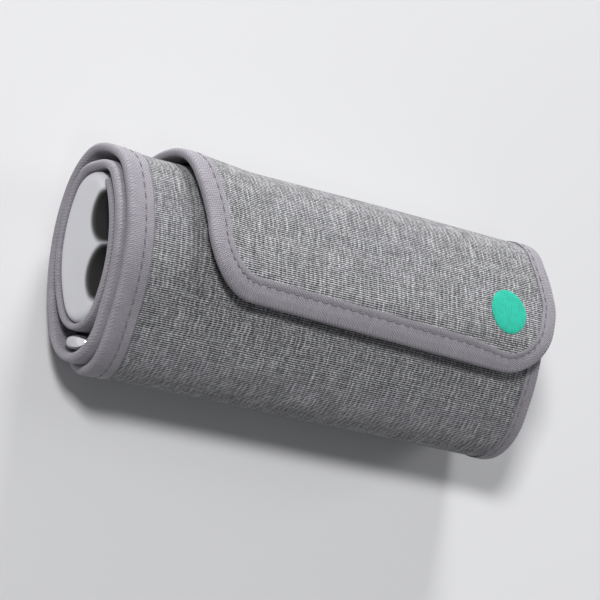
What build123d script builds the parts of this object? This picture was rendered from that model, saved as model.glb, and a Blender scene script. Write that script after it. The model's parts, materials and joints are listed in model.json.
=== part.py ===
from build123d import *
from itertools import pairwise
from math import asin, ceil, copysign, cos, degrees, radians, sin, sqrt
import os

# Arm-cuff blood pressure monitor, rolled up for travel. A slim control pod lies in the middle, and the
# cuff's band is wound round it three times and closed by a flap. +X runs along the roll, from the open end
# that shows the pod's end cap to the end with the start button. +Z is up, through the flap, and the roll
# rests on its broad back. The origin is under the middle of the roll, on the surface that it rests on.

# Pod outline: a four-arc oval
pod_half_width = 21.8
pod_half_height = 12.4
pod_end_radius = 9.0

# Stretches of the pod along X, from its left end: cap, bay for the pump, battery tubes, battery cap
pod_middle = -3.5
cap_length = 20.0
bay_length = 28.0
contact_room = 1.7
contact_gap = 0.1
cap_spigot = 3.6
cap_plate = 3.0

# Cuff band and the tape bound round its edges
cuff_width = 152.0
telescope = 2.0
band_thickness = 2.0
lining_thickness = 0.6
tape_thickness = 0.3
tape_width = 8.3
edge_radius = 18.0

# How the band lies in the roll. Turn angles say where: 0 faces up, 90 to -Y, 180 down, 270 to +Y, and on
full_turn = 360.0
quarter_turn = 90.0
step_turn = 270.0
step_span_turn = 60.0
sleeve_start_turn = -30.0
sleeve_end_turn = 240.0
inner_end_turn = 585.0
outer_end_turn = 900.0
hinge_turn = 1010.0
flap_end_turn = 1100.0
arc_turn = 30
sleeve_gap = 0.4
turn_gap = 0.75
top_slack = 1.55
flap_slack = 0.3
rest_flat = 0.4

# Chrome ring, held between the first and the second turn
ring_wire = 4.2
ring_height = 11.2
ring_length = 141.0
ring_corner = 3.2
ring_turn = 98.0
ring_clearance = 0.3
loop_inset = 18.5
loop_thickness = 0.45
loop_clearance = 0.08
loop_tail_turn = 42.0

# Where the last half turn narrows to the flap's width, and the closing flap in plan
shoulder_low = 4.0
shoulder_height = 9.0
shoulder_radius = 12.0
flap_inset = 23.5
flap_low = -11.8
flap_slant = 2.0
flap_taper = 3.0
flap_flare = 3.0
flare_y = 8.0
hinge_gap = 0.3
pad_thickness = 0.35
pad_margin = 3.0
pad_high = 24.0
marker_radius = 6.5
marker_thickness = 0.15
marker_clearance = 0.02
marker_inset = 20.2
marker_y = 4.1

# Air bladder and the springy curl sheet inside the band
bladder_margin = 16.0
bladder_thickness = 0.8
bladder_start_turn = 262.0
bladder_end_turn = 560.0
curl_thickness = 0.5
curl_start_turn = 612.0
curl_end_turn = 876.0
pocket_clearance = 0.05

# Pod shells and end cap
shell_wall = 1.6
spigot_clearance = 0.15
spigot_wall = 1.4
left_spigot = 2.5
lap_height = 1.2
lap_root = 0.5
lap_clearance = 0.1
cap_edge_radius = 3.0
pocket_radius = 7.6
pocket_depth = 15.5
pocket_spread = 8.5
pocket_shift = -0.4
pocket_lift = 11.9
pocket_rim = 0.8

# Screws through the rear shell into the front shell
screw_from_cap = 5.0
screw_from_chassis = 2.8
screw_inset = 5.6
boss_radius = 2.4
screw_radius = 1.0
screw_head_radius = 1.6
screw_head_height = 1.2
screw_head_z = -5.4
screw_tip_z = 4.0
play = 0.1

# AAA cells, two in each battery tube
cell_radius = 5.2
cell_length = 44.5
cell_nub = 0.8
cell_nub_radius = 1.9
cell_clearance = 0.2
tube_wall = 0.9
tube_inset = 1.0
leaf_foot = 4.0
leaf_bend = 3.2
leaf_half_height = 2.0

# Chassis
plate_thickness = 1.6
chassis_clearance = 0.3
rail_thickness = 1.2
rail_half_width = 2.0

# Main board and what is soldered to it
board_setback = 6.0
board_inset = 3.5
board_thickness = 1.2
chip_height = 1.2
chip_places = (18.0, 33.0, 53.0)
chip_sizes = (7.0, 5.0, 6.0)
module_place = 38.0
module_length = 18.0
module_half_height = 6.0
module_board = 0.8
shield_length = 12.0
shield_half_height = 5.0
shield_height = 1.6
sensor_place = 4.0
sensor_length = 7.0
sensor_half_height = 3.5

# Start button, its boss and its switch
boss_outer = 6.0
button_radius = 4.5
button_clearance = 0.2
button_height = 2.0
button_proud = 0.2
button_travel = 0.8
stem_radius = 1.5
light_ring_width = 0.9
light_ring_depth = 0.8
switch_size = 6.0
switch_height = 3.6
switch_nub = 0.3
switch_room = 0.5

# Battery cap
cap_hole_clearance = 0.3
seal_width = 1.2
seal_depth = 0.5
seal_gap = 0.1
seal_setback = 1.0
bridge_thickness = 0.3

# Pump, valve and air path. Along X they are placed from the end cap, and along Y from the pod's end arcs
pump_place = 15.5
motor_radius = 6.8
motor_inset = 6.8
motor_high = -2.0
head_half_length = 8.0
head_half_height = 8.2
head_inset = 11.0
crank_cavity = 5.5
crank_shaft = 0.75
crank_throw = 1.5
mount_wall = 1.2
mount_foot = 3.5
mount_half_length = 4.0
manifold_before = 0.3
manifold_after = 6.3
manifold_gap = 0.4
manifold_half_height = 3.6
manifold_inset = 4.4
port_offset = 3.0
port_radius = 2.0
port_bore = 1.0
port_clearance = 0.15
valve_length = 7.6
valve_wall = 1.0
valve_inset = 7.2
valve_radius = 3.3
plunger_radius = 1.2
plunger_stroke = 0.6
hose_radius = 1.1
hose_setback = 2.6
hose_bend = 3.3

# Values that follow from the sizes above
tubes_length = plate_thickness + contact_room + 2 * cell_length + contact_gap + cap_spigot
pod_length = cap_length + bay_length + tubes_length + cap_plate
pod_left = pod_middle - pod_length / 2
pod_right = pod_left + pod_length
joint_x = pod_left + cap_length
chassis_left = joint_x + bay_length
shell_right = pod_right - cap_plate
spigot_left = shell_right - cap_spigot
chassis_right = spigot_left - chassis_clearance
cells_left = spigot_left - contact_gap - 2 * cell_length
pump_x = joint_x + pump_place
port_x = pump_x + port_offset
pitch = band_thickness + turn_gap
flank = pod_half_width - pod_end_radius
face_radius = (flank**2 + pod_half_height**2 - pod_end_radius**2) / (2 * (pod_half_height - pod_end_radius))
join_sine = flank / (face_radius - pod_end_radius)
join_turn = degrees(asin(join_sine))
sleeve_face = sleeve_gap + band_thickness
ring_bar = (ring_height - ring_wire) / 2
ring_inside = pod_end_radius + sleeve_face + tape_thickness + ring_clearance + ring_wire / 2
ring_reach = sqrt(ring_inside**2 + ring_bar**2)
ring_half_turn = degrees(asin(ring_bar / ring_reach))
ring_outside = ring_reach + ring_wire / 2 + ring_clearance + tape_thickness - pod_end_radius
ring_pocket = (ring_outside - sleeve_gap - pitch) / cos(radians(ring_half_turn)) ** 2
coil_left = -(cuff_width + telescope) / 2
coil_right = coil_left + cuff_width
inner_left = coil_left + tape_thickness
inner_right = coil_right - tape_thickness
outer_left = coil_left + telescope
outer_right = outer_left + cuff_width
band_right = outer_right - flap_flare
flap_left = outer_left + flap_inset


step_starts = [step_turn + count * full_turn for count in range(3)]


def smooth(share):
    """Rise from 0 to 1 with level ends as the share goes from 0 to 1."""
    held = min(max(share, 0.0), 1.0)
    return held * held * (3 - 2 * held)


def bulge(turn, centre):
    """Rounded rise over a half turn, 1 at its centre angle and 0 a quarter turn away."""
    return cos(radians(turn - centre)) ** 2 if abs(turn - centre) < quarter_turn else 0.0


def band_offset(turn):
    """How far the band's inner face stands off the pod at a turn angle."""
    steps = [smooth((turn - start) / step_span_turn) for start in step_starts]
    pocket = ring_pocket * sum(bulge(turn, ring_turn + count * full_turn) for count in (1, 2))
    slack = top_slack * sum(bulge(turn, start) for start in step_starts[1:])
    return sleeve_gap + pitch * sum(steps) + pocket + slack + flap_slack * steps[-1]


def oval_point(turn, out):
    """Point beside the pod's oval where its outward normal has the turn angle, moved out along it."""
    normal_y = -sin(radians(turn))
    normal_z = cos(radians(turn))
    if abs(normal_y) > join_sine:
        reach = pod_end_radius + out
        return (copysign(flank, normal_y) + reach * normal_y, reach * normal_z)
    reach = face_radius + out
    return (reach * normal_y, reach * normal_z - copysign(face_radius - pod_half_height, normal_z))


def band_point(turn, depth):
    """Point in the band at a turn angle, at a depth from its inner face."""
    return oval_point(turn, band_offset(turn) + depth)


lowest = band_point(outer_end_turn, band_thickness)[1]
ring_side = 2 * full_turn + quarter_turn
reach_left = min(band_point(ring_side + turn, 0)[0] for turn in range(-arc_turn, arc_turn))
reach_right = max(band_point(step_starts[-1] + turn, 0)[0] for turn in range(-arc_turn, arc_turn))
pod_y = -(reach_left + reach_right) / 2
pod_z = -lowest - rest_flat


def across(x):
    """Plane square to the roll at x, with its origin at the pod's centre: local x is +Y, local y is +Z."""
    return Plane((x, pod_y, pod_z), x_dir=(0, 1, 0), z_dir=(1, 0, 0))


def sideways(x, y, z):
    """Plane whose normal is +Y, at a point given from the pod's centre: local x is +X, local y is -Z."""
    return Plane((x, pod_y + y, pod_z + z), x_dir=(1, 0, 0), z_dir=(0, 1, 0))


def upward(x, y, z):
    """Plane whose normal is +Z, at a point given from the pod's centre."""
    return Plane((x, pod_y + y, pod_z + z))


def band(start, end, low, high, left, right, mode=Mode.ADD):
    """Stretch of the band between two turn angles, two depths and two places along X."""
    shortest = arc_turn / 8
    inside = range(arc_turn * ceil((start + shortest) / arc_turn), int(end - shortest), arc_turn)
    with BuildSketch(across(left)) as profile:
        with BuildLine():
            for depth in (low, high):
                for first, last in pairwise([start, *inside, end]):
                    ThreePointArc(*[band_point(turn, depth) for turn in (first, (first + last) / 2, last)])
            for turn in (start, end):
                Line(band_point(turn, low), band_point(turn, high))
        make_face()
    extrude(profile.sketch, amount=right - left, mode=mode)


def pod_block(out, left, right, mode=Mode.ADD):
    """Stretch of the pod's oval, moved out or in from its outline."""
    with BuildSketch(across(left)) as profile:
        with BuildLine():
            for count in range(4):
                half = quarter_turn - join_turn if count % 2 else join_turn
                ThreePointArc(*[oval_point(count * quarter_turn + side * half, out) for side in (-1, 0, 1)])
        make_face()
    extrude(profile.sketch, amount=right - left, mode=mode)


def rod(y, z, radius, left, right, mode=Mode.ADD):
    """Round bar along X, placed from the pod's centre."""
    with BuildSketch(across(left)) as profile:
        with Locations((y, z)):
            Circle(radius)
    extrude(profile.sketch, amount=right - left, mode=mode)


def cross_rod(x, z, radius, low, high, mode=Mode.ADD):
    """Round bar along Y, placed from the pod's centre."""
    with BuildSketch(sideways(x, low, z)) as profile:
        Circle(radius)
    extrude(profile.sketch, amount=high - low, mode=mode)


def block(x_range, y_range, z_range, mode=Mode.ADD):
    """Box between two places along each axis, y and z counted from the pod's centre."""
    middle = [(low + high) / 2 for low, high in (x_range, y_range, z_range)]
    size = [high - low for low, high in (x_range, y_range, z_range)]
    with Locations((middle[0], pod_y + middle[1], pod_z + middle[2])):
        Box(*size, mode=mode)


def floor_cut():
    """Take away what lies under the surface that the roll rests on."""
    with Locations((0, 0, -pod_half_height / 2)):
        Box(2 * cuff_width, 4 * pod_half_width, pod_half_height, mode=Mode.SUBTRACT)


def bound_edges(start, end, left, right):
    """Tape folded round both edges of a stretch of the band, for a build that has nothing else yet."""
    low = -tape_thickness
    high = band_thickness + tape_thickness
    band(start, end, low, high, left, left + tape_width)
    band(start, end, low, high, right - tape_width, right)
    band(start, end, 0, band_thickness, left + tape_thickness, right - tape_thickness, mode=Mode.SUBTRACT)


# Cuff

with BuildPart() as pod_sleeve:
    band(sleeve_start_turn, sleeve_end_turn, 0, band_thickness, inner_left, inner_right)
pod_sleeve.part.label = "pod_sleeve"
export_step(pod_sleeve.part, "parts/pod_sleeve.step")

with BuildPart() as sleeve_binding:
    bound_edges(sleeve_start_turn, sleeve_end_turn, coil_left, coil_right)
sleeve_binding.part.label = "sleeve_binding"
export_step(sleeve_binding.part, "parts/sleeve_binding.step")

with BuildPart() as inner_turn_lining:
    band(sleeve_end_turn, inner_end_turn, 0, lining_thickness, inner_left, inner_right)
    cross_rod(port_x, 0, port_radius + port_clearance, 0, 2 * pod_half_width, mode=Mode.SUBTRACT)
inner_turn_lining.part.label = "inner_turn_lining"
export_step(inner_turn_lining.part, "parts/inner_turn_lining.step")

bladder_low = lining_thickness
bladder_high = bladder_low + bladder_thickness
bladder_left = coil_left + bladder_margin
bladder_right = coil_right - bladder_margin
with BuildPart() as inner_turn_face:
    band(sleeve_end_turn, inner_end_turn, lining_thickness, band_thickness, inner_left, inner_right)
    band(
        bladder_start_turn,
        bladder_end_turn,
        bladder_low - pocket_clearance,
        bladder_high + pocket_clearance,
        bladder_left - pocket_clearance,
        bladder_right + pocket_clearance,
        mode=Mode.SUBTRACT,
    )
inner_turn_face.part.label = "inner_turn_face"
export_step(inner_turn_face.part, "parts/inner_turn_face.step")

with BuildPart() as air_bladder:
    bladder_base = bladder_low + pocket_clearance
    band(bladder_start_turn, bladder_end_turn, bladder_base, bladder_high, bladder_left, bladder_right)
air_bladder.part.label = "air_bladder"
export_step(air_bladder.part, "parts/air_bladder.step")

with BuildPart() as inner_turn_binding:
    bound_edges(sleeve_end_turn, inner_end_turn, coil_left, coil_right)
inner_turn_binding.part.label = "inner_turn_binding"
export_step(inner_turn_binding.part, "parts/inner_turn_binding.step")

with BuildPart() as outer_turn_lining:
    fabric_left = outer_left + tape_thickness
    fabric_right = band_right - tape_thickness
    band(inner_end_turn, outer_end_turn, 0, lining_thickness, fabric_left, fabric_right)
outer_turn_lining.part.label = "outer_turn_lining"
export_step(outer_turn_lining.part, "parts/outer_turn_lining.step")

curl_left = outer_left + bladder_margin
curl_right = band_right - bladder_margin
curl_low = lining_thickness
curl_high = curl_low + curl_thickness
with BuildPart() as outer_turn_face:
    band(inner_end_turn, outer_end_turn, lining_thickness, band_thickness, fabric_left, fabric_right)
    band(
        curl_start_turn,
        curl_end_turn,
        curl_low - pocket_clearance,
        curl_high + pocket_clearance,
        curl_left - pocket_clearance,
        curl_right + pocket_clearance,
        mode=Mode.SUBTRACT,
    )
    floor_cut()
outer_turn_face.part.label = "outer_turn_face"
export_step(outer_turn_face.part, "parts/outer_turn_face.step")

with BuildPart() as curl_sheet:
    band(curl_start_turn, curl_end_turn, curl_low + pocket_clearance, curl_high, curl_left, curl_right)
curl_sheet.part.label = "curl_sheet"
export_step(curl_sheet.part, "parts/curl_sheet.step")

with BuildPart() as outer_turn_binding:
    bound_edges(inner_end_turn, outer_end_turn, outer_left, band_right)
    floor_cut()
outer_turn_binding.part.label = "outer_turn_binding"
export_step(outer_turn_binding.part, "parts/outer_turn_binding.step")

# The last half turn narrows at its left edge, and ends in the closing flap


def narrowing(inset):
    """Outline of the last half turn seen along Y: full width below, the flap's width above."""
    with BuildSketch(Plane.XZ) as outline:
        with BuildLine():
            FilletPolyline(
                (outer_left, shoulder_low),
                (outer_left, -2 * pod_half_width),
                (band_right, -2 * pod_half_width),
                (band_right, 4 * pod_half_width),
                (flap_left, 4 * pod_half_width),
                (flap_left, shoulder_low + shoulder_height),
                radius=shoulder_radius,
                close=True,
            )
        make_face()
        offset(amount=-inset, kind=Kind.INTERSECTION)
    return outline.sketch


def flap_plan(inset):
    """Outline of the flap seen from above, moved in from its edge."""
    with BuildSketch() as outline:
        with BuildLine():
            FilletPolyline(
                (band_right, 3 * pod_half_width),
                (flap_left, 3 * pod_half_width),
                (flap_left, flap_low + pod_y + flap_slant),
                (outer_right - flap_taper, flap_low + pod_y - flap_slant),
                (outer_right, flare_y + pod_y),
                (band_right, pod_half_width + pod_y),
                radius=edge_radius,
                close=True,
            )
        make_face()
        offset(amount=-inset, kind=Kind.INTERSECTION)
    return outline.sketch


def closing_layer(low, high, inset, mode=Mode.ADD):
    """Layer of the last half turn between two depths, inside its narrowing outline."""
    with BuildPart(mode=Mode.PRIVATE) as layer:
        band(outer_end_turn, hinge_turn, low, high, outer_left, band_right)
        extrude(narrowing(inset), amount=-3 * pod_half_width, mode=Mode.INTERSECT)
    add(layer.part, mode=mode)


def flap_layer(low, high, inset, mode=Mode.ADD):
    """Layer of the flap between two depths, inside its outline."""
    with BuildPart(mode=Mode.PRIVATE) as layer:
        band(flap_start_turn, flap_end_turn, low, high, flap_left, outer_right)
        extrude(flap_plan(inset), amount=6 * pod_half_height, mode=Mode.INTERSECT)
    add(layer.part, mode=mode)


hinge_reach = pod_end_radius + band_offset(hinge_turn) + band_thickness
flap_start_turn = hinge_turn + degrees(hinge_gap / hinge_reach)
tape_top = band_thickness + tape_thickness

with BuildPart() as closing_turn_face:
    closing_layer(lining_thickness, band_thickness, tape_thickness)
    floor_cut()
closing_turn_face.part.label = "closing_turn_face"
export_step(closing_turn_face.part, "parts/closing_turn_face.step")

with BuildPart() as closing_turn_lining:
    closing_layer(0, lining_thickness, tape_thickness)
closing_turn_lining.part.label = "closing_turn_lining"
export_step(closing_turn_lining.part, "parts/closing_turn_lining.step")

with BuildPart() as closing_turn_binding:
    closing_layer(-tape_thickness, tape_top, 0)
    extrude(narrowing(tape_width), amount=-3 * pod_half_width, mode=Mode.SUBTRACT)
    closing_layer(0, band_thickness, tape_thickness, mode=Mode.SUBTRACT)
    floor_cut()
closing_turn_binding.part.label = "closing_turn_binding"
export_step(closing_turn_binding.part, "parts/closing_turn_binding.step")

with BuildPart() as flap_face:
    flap_layer(lining_thickness, band_thickness, tape_thickness)
flap_face.part.label = "flap_face"
export_step(flap_face.part, "parts/flap_face.step")

with BuildPart() as flap_lining:
    flap_layer(0, lining_thickness, tape_thickness)
flap_lining.part.label = "flap_lining"
export_step(flap_lining.part, "parts/flap_lining.step")

with BuildPart() as flap_binding:
    flap_layer(-tape_thickness, tape_top, 0)
    extrude(flap_plan(tape_width), amount=6 * pod_half_height, mode=Mode.SUBTRACT)
    flap_layer(0, band_thickness, tape_thickness, mode=Mode.SUBTRACT)
flap_binding.part.label = "flap_binding"
export_step(flap_binding.part, "parts/flap_binding.step")

with BuildPart() as hook_pad:
    flap_layer(-pad_thickness, 0, tape_width + pad_margin)
hook_pad.part.label = "hook_pad"
export_step(hook_pad.part, "parts/hook_pad.step")

with BuildPart() as loop_pad:
    pad_left = flap_left + tape_width
    pad_right = band_right - tape_width - pad_margin
    pad_low = flap_low + tape_width
    pad_top = band_thickness + pad_thickness
    band(inner_end_turn, outer_end_turn, band_thickness, pad_top, pad_left, pad_right)
    block((pad_left, pad_right), (pad_low, pad_high), (0, 2 * pod_half_width), mode=Mode.INTERSECT)
loop_pad.part.label = "loop_pad"
export_step(loop_pad.part, "parts/loop_pad.step")

with BuildPart() as marker_dot:
    marker_low = band_thickness + marker_clearance
    flap_layer(marker_low, marker_low + marker_thickness, tape_width)
    with Locations((outer_right - marker_inset, marker_y + pod_y, pod_z + pod_half_width)):
        Cylinder(marker_radius, 2 * pod_half_width, mode=Mode.INTERSECT)
marker_dot.part.label = "marker_dot"
export_step(marker_dot.part, "parts/marker_dot.step")


# Chrome ring and the webbing loop that holds its back bar to the sleeve


def around_left(turn, reach):
    """Point at a distance from the centre of the pod's -Y end arc, in the direction of a turn angle."""
    return (-flank - reach * sin(radians(turn)), reach * cos(radians(turn)))


ring_centre = around_left(ring_turn, ring_inside)
ring_normal = (0, -sin(radians(ring_turn)), cos(radians(ring_turn)))
ring_middle_x = coil_left + ring_length / 2
ring_plane = Plane(
    (ring_middle_x, pod_y + ring_centre[0], pod_z + ring_centre[1]), x_dir=(1, 0, 0), z_dir=ring_normal
)
with BuildPart() as cuff_ring:
    with BuildSketch(ring_plane, mode=Mode.PRIVATE) as ring_outline:
        RectangleRounded(ring_length - ring_wire, ring_height - ring_wire, ring_corner)
    ring_path = ring_outline.sketch.face().outer_wire()
    with BuildSketch(Plane(ring_path @ 0, z_dir=ring_path % 0)):
        Circle(ring_wire / 2)
    sweep(path=ring_path)
cuff_ring.part.label = "cuff_ring"
export_step(cuff_ring.part, "parts/cuff_ring.step")

back_bar = around_left(ring_turn + ring_half_turn, ring_reach)
with BuildPart() as ring_loop:
    loop_length = ring_length - 2 * loop_inset
    loop_left = ring_middle_x - loop_length / 2
    loop_bore = ring_wire / 2 + loop_clearance
    rod(back_bar[0], back_bar[1], loop_bore + loop_thickness, loop_left, loop_left + loop_length)
    tail_start = ring_turn + ring_half_turn
    with BuildSketch(across(loop_left)) as tail:
        with BuildLine():
            low = sleeve_face + 2 * pocket_clearance
            high = low + 2 * loop_thickness
            turns = [tail_start + loop_tail_turn * step / 6 for step in range(7)]
            inner = Spline(*[oval_point(turn, low) for turn in turns])
            outer = Spline(*[oval_point(turn, high) for turn in turns])
            Line(inner @ 0, outer @ 0)
            Line(inner @ 1, outer @ 1)
        make_face()
    extrude(tail.sketch, amount=loop_length)
    rod(back_bar[0], back_bar[1], loop_bore, loop_left, loop_left + loop_length, mode=Mode.SUBTRACT)
ring_loop.part.label = "ring_loop"
export_step(ring_loop.part, "parts/ring_loop.step")


# Pod shells and the end cap that shows in the open end of the roll

spigot_out = -shell_wall - spigot_clearance
pocket_end = pod_left + pocket_depth - pocket_radius
pocket_centres = [(pocket_shift + side * pocket_spread, pocket_lift) for side in (-1, 1)]


def is_rim(edge):
    """Whether an edge lies where a pocket's wall or its round end comes out of the end cap."""
    if edge.geom_type == GeomType.CIRCLE and edge.position_at(0.5).X > pod_left + pocket_rim:
        return False
    offsets = [Vector(0, pod_y + y, pod_z + z) for y, z in pocket_centres]
    for middle in offsets:
        reach = [
            (edge.position_at(share) - middle - Vector(min(edge.position_at(share).X, pocket_end), 0, 0)).length
            for share in (0.1, 0.5, 0.9)
        ]
        if max(abs(distance - pocket_radius) for distance in reach) < pocket_rim / 10:
            return True
    return False


with BuildPart() as left_end_cap:
    pod_block(0, pod_left, joint_x)
    fillet(left_end_cap.edges().group_by(Axis.X)[0], radius=cap_edge_radius)
    pod_block(spigot_out, joint_x, joint_x + left_spigot)
    pod_block(spigot_out - spigot_wall, joint_x - left_spigot, joint_x + left_spigot, mode=Mode.SUBTRACT)
    for pocket_y, pocket_z in pocket_centres:
        rod(pocket_y, pocket_z, pocket_radius, pod_left, pocket_end, mode=Mode.SUBTRACT)
        with Locations((pocket_end, pod_y + pocket_y, pod_z + pocket_z)):
            Sphere(pocket_radius, mode=Mode.SUBTRACT)
    fillet([edge for edge in left_end_cap.edges() if is_rim(edge)], radius=pocket_rim)
left_end_cap.part.label = "left_end_cap"
export_step(left_end_cap.part, "parts/left_end_cap.step")


lap_middle = -shell_wall / 2
pod_span = (-pod_half_width, pod_half_width)
screw_x = (joint_x + screw_from_cap, chassis_left - screw_from_chassis)
screw_y = pod_half_width - screw_inset
with BuildPart() as pod_rear_shell:
    pod_block(0, joint_x, shell_right)
    pod_block(-shell_wall, joint_x, shell_right, mode=Mode.SUBTRACT)
    block((joint_x, shell_right), pod_span, (0, 2 * pod_half_height), mode=Mode.SUBTRACT)
    with BuildPart(mode=Mode.PRIVATE) as rear_lap:
        pod_block(lap_middle - lap_clearance / 2, joint_x, shell_right)
        pod_block(-shell_wall, joint_x, shell_right, mode=Mode.SUBTRACT)
        block((joint_x, shell_right), pod_span, (-lap_root, lap_height), mode=Mode.INTERSECT)
    add(rear_lap.part)
    with BuildPart(mode=Mode.PRIVATE) as rear_bosses:
        for boss_x in screw_x:
            for side in (-1, 1):
                with Locations((boss_x, pod_y + side * screw_y, pod_z - pod_half_height / 2)):
                    Cylinder(boss_radius, pod_half_height)
        pod_block(-shell_wall / 2, joint_x, shell_right, mode=Mode.INTERSECT)
    add(rear_bosses.part)
    for boss_x in screw_x:
        for side in (-1, 1):
            with Locations((boss_x, pod_y + side * screw_y, pod_z)):
                Cylinder(screw_radius + play, 3 * pod_half_height, mode=Mode.SUBTRACT)
            with Locations((boss_x, pod_y + side * screw_y, pod_z + screw_head_z - pod_half_height / 2)):
                Cylinder(screw_head_radius + play, pod_half_height, mode=Mode.SUBTRACT)
    cross_rod(port_x, 0, port_radius + port_clearance, 0, 2 * pod_half_width, mode=Mode.SUBTRACT)
pod_rear_shell.part.label = "pod_rear_shell"
export_step(pod_rear_shell.part, "parts/pod_rear_shell.step")

with BuildPart() as pod_front_shell:
    pod_block(0, joint_x, shell_right)
    pod_block(-shell_wall, joint_x, shell_right, mode=Mode.SUBTRACT)
    block((joint_x, shell_right), pod_span, (-2 * pod_half_height, 0), mode=Mode.SUBTRACT)
    with BuildPart(mode=Mode.PRIVATE) as front_groove:
        pod_block(lap_middle + lap_clearance / 2, joint_x, shell_right)
        block((joint_x, shell_right), pod_span, (0, lap_height + lap_clearance), mode=Mode.INTERSECT)
    add(front_groove.part, mode=Mode.SUBTRACT)
    with BuildPart(mode=Mode.PRIVATE) as front_bosses:
        for boss_x in screw_x:
            for side in (-1, 1):
                with Locations((boss_x, pod_y + side * screw_y, pod_z + pod_half_height / 2)):
                    Cylinder(boss_radius, pod_half_height)
                    Cylinder(screw_radius, pod_half_height, mode=Mode.SUBTRACT)
        pod_block(-shell_wall / 2, joint_x, shell_right, mode=Mode.INTERSECT)
    add(front_bosses.part)
    cross_rod(port_x, 0, port_radius + port_clearance, 0, 2 * pod_half_width, mode=Mode.SUBTRACT)
pod_front_shell.part.label = "pod_front_shell"
export_step(pod_front_shell.part, "parts/pod_front_shell.step")

with BuildPart() as shell_screws:
    for screw_at in screw_x:
        for side in (-1, 1):
            screw_place = upward(screw_at, side * screw_y, screw_head_z)
            with BuildSketch(screw_place) as shank:
                Circle(screw_radius)
            extrude(shank.sketch, amount=screw_tip_z - screw_head_z)
            with BuildSketch(screw_place) as head:
                Circle(screw_head_radius)
            extrude(head.sketch, amount=-screw_head_height)
shell_screws.part.label = "shell_screws"
export_step(shell_screws.part, "parts/shell_screws.step")


# Chassis with the two battery tubes, the board's rails and the button's boss

tube_bore = cell_radius + cell_clearance
tube_y = pod_half_width - shell_wall - chassis_clearance - tube_wall - tube_bore - tube_inset
board_left = chassis_left + board_setback
board_right = chassis_right - plate_thickness - switch_room - switch_nub - switch_height
board_half_height = pod_half_height - board_inset
face = board_thickness / 2
sensor_y = (face + tube_y - tube_bore - tube_wall) / 2
chassis_out = -shell_wall - chassis_clearance
with BuildPart() as chassis:
    pod_block(chassis_out, chassis_left, chassis_left + plate_thickness)
    pod_block(chassis_out, chassis_right - plate_thickness, chassis_right)
    for side in (-1, 1):
        rod(side * tube_y, 0, tube_bore + tube_wall, chassis_left, chassis_right)
        rail_low = board_half_height - tube_wall
        rail_z = sorted((side * rail_low, side * (board_half_height + rail_thickness)))
        block((chassis_left, chassis_right), (-rail_half_width, rail_half_width), rail_z)
    rod(0, 0, boss_outer, chassis_right - plate_thickness, pod_right)
    for side in (-1, 1):
        rod(side * tube_y, 0, tube_bore, chassis_left + plate_thickness, chassis_right, mode=Mode.SUBTRACT)
    slot = face + play
    slot_top = board_half_height + play
    block((board_left, board_right), (-slot, slot), (-slot_top, slot_top), mode=Mode.SUBTRACT)
    stem_hole = stem_radius + button_clearance
    rod(0, 0, stem_hole, chassis_right - plate_thickness, pod_right, mode=Mode.SUBTRACT)
    rod(0, 0, button_radius + button_clearance, chassis_right, pod_right, mode=Mode.SUBTRACT)
    light_outer = button_radius + button_clearance + light_ring_width
    rod(0, 0, light_outer, pod_right - light_ring_depth, pod_right, mode=Mode.SUBTRACT)
    rod(sensor_y, 0, hose_radius + play, chassis_left, chassis_left + plate_thickness, mode=Mode.SUBTRACT)
chassis.part.label = "chassis"
export_step(chassis.part, "parts/chassis.step")

with BuildPart() as aaa_cells:
    for side in (-1, 1):
        for index in range(2):
            cell_left = cells_left + index * cell_length
            nub_left = cell_left + cell_length - cell_nub
            rod(side * tube_y, 0, cell_radius, cell_left, nub_left)
            rod(side * tube_y, 0, cell_nub_radius, nub_left, nub_left + cell_nub)
aaa_cells.part.label = "aaa_cells"
export_step(aaa_cells.part, "parts/aaa_cells.step")

with BuildPart() as cell_contacts:
    leaf_left = chassis_left + plate_thickness
    leaf_back = leaf_left + bridge_thickness
    leaf_right = cells_left - play
    for side in (-1, 1):
        with BuildSketch(Plane((0, pod_y + side * tube_y, pod_z))) as leaf:
            with BuildLine():
                Polyline(
                    (leaf_left, -leaf_foot),
                    (leaf_back, -leaf_foot),
                    (leaf_back, leaf_bend),
                    (leaf_right - bridge_thickness, 0),
                    (leaf_right, 0),
                    (leaf_back, leaf_foot),
                    (leaf_left, leaf_foot),
                    close=True,
                )
            make_face()
        extrude(leaf.sketch, amount=leaf_half_height, both=True)
cell_contacts.part.label = "cell_contacts"
export_step(cell_contacts.part, "parts/cell_contacts.step")


# Main board and what is soldered to it

with BuildPart() as main_board:
    block((board_left, board_right), (-face, face), (-board_half_height, board_half_height))
main_board.part.label = "main_board"
export_step(main_board.part, "parts/main_board.step")

with BuildPart() as processor_chips:
    for place, size in zip(chip_places, chip_sizes):
        chip_x = board_left + place
        block((chip_x, chip_x + size), (-face - chip_height, -face), (-size / 2, size / 2))
processor_chips.part.label = "processor_chips"
export_step(processor_chips.part, "parts/processor_chips.step")

with BuildPart() as wireless_module:
    module_x = board_left + module_place
    shield_y = face + module_board
    module_z = (-module_half_height, module_half_height)
    shield_z = (-shield_half_height, shield_half_height)
    block((module_x, module_x + module_length), (face, shield_y), module_z)
    block((module_x, module_x + shield_length), (shield_y, shield_y + shield_height), shield_z)
wireless_module.part.label = "wireless_module"
export_step(wireless_module.part, "parts/wireless_module.step")

sensor_left = board_left + sensor_place
with BuildPart() as pressure_sensor:
    sensor_z = (-sensor_half_height, sensor_half_height)
    block((sensor_left, sensor_left + sensor_length), (face, sensor_y + hose_radius), sensor_z)
pressure_sensor.part.label = "pressure_sensor"
export_step(pressure_sensor.part, "parts/pressure_sensor.step")

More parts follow.
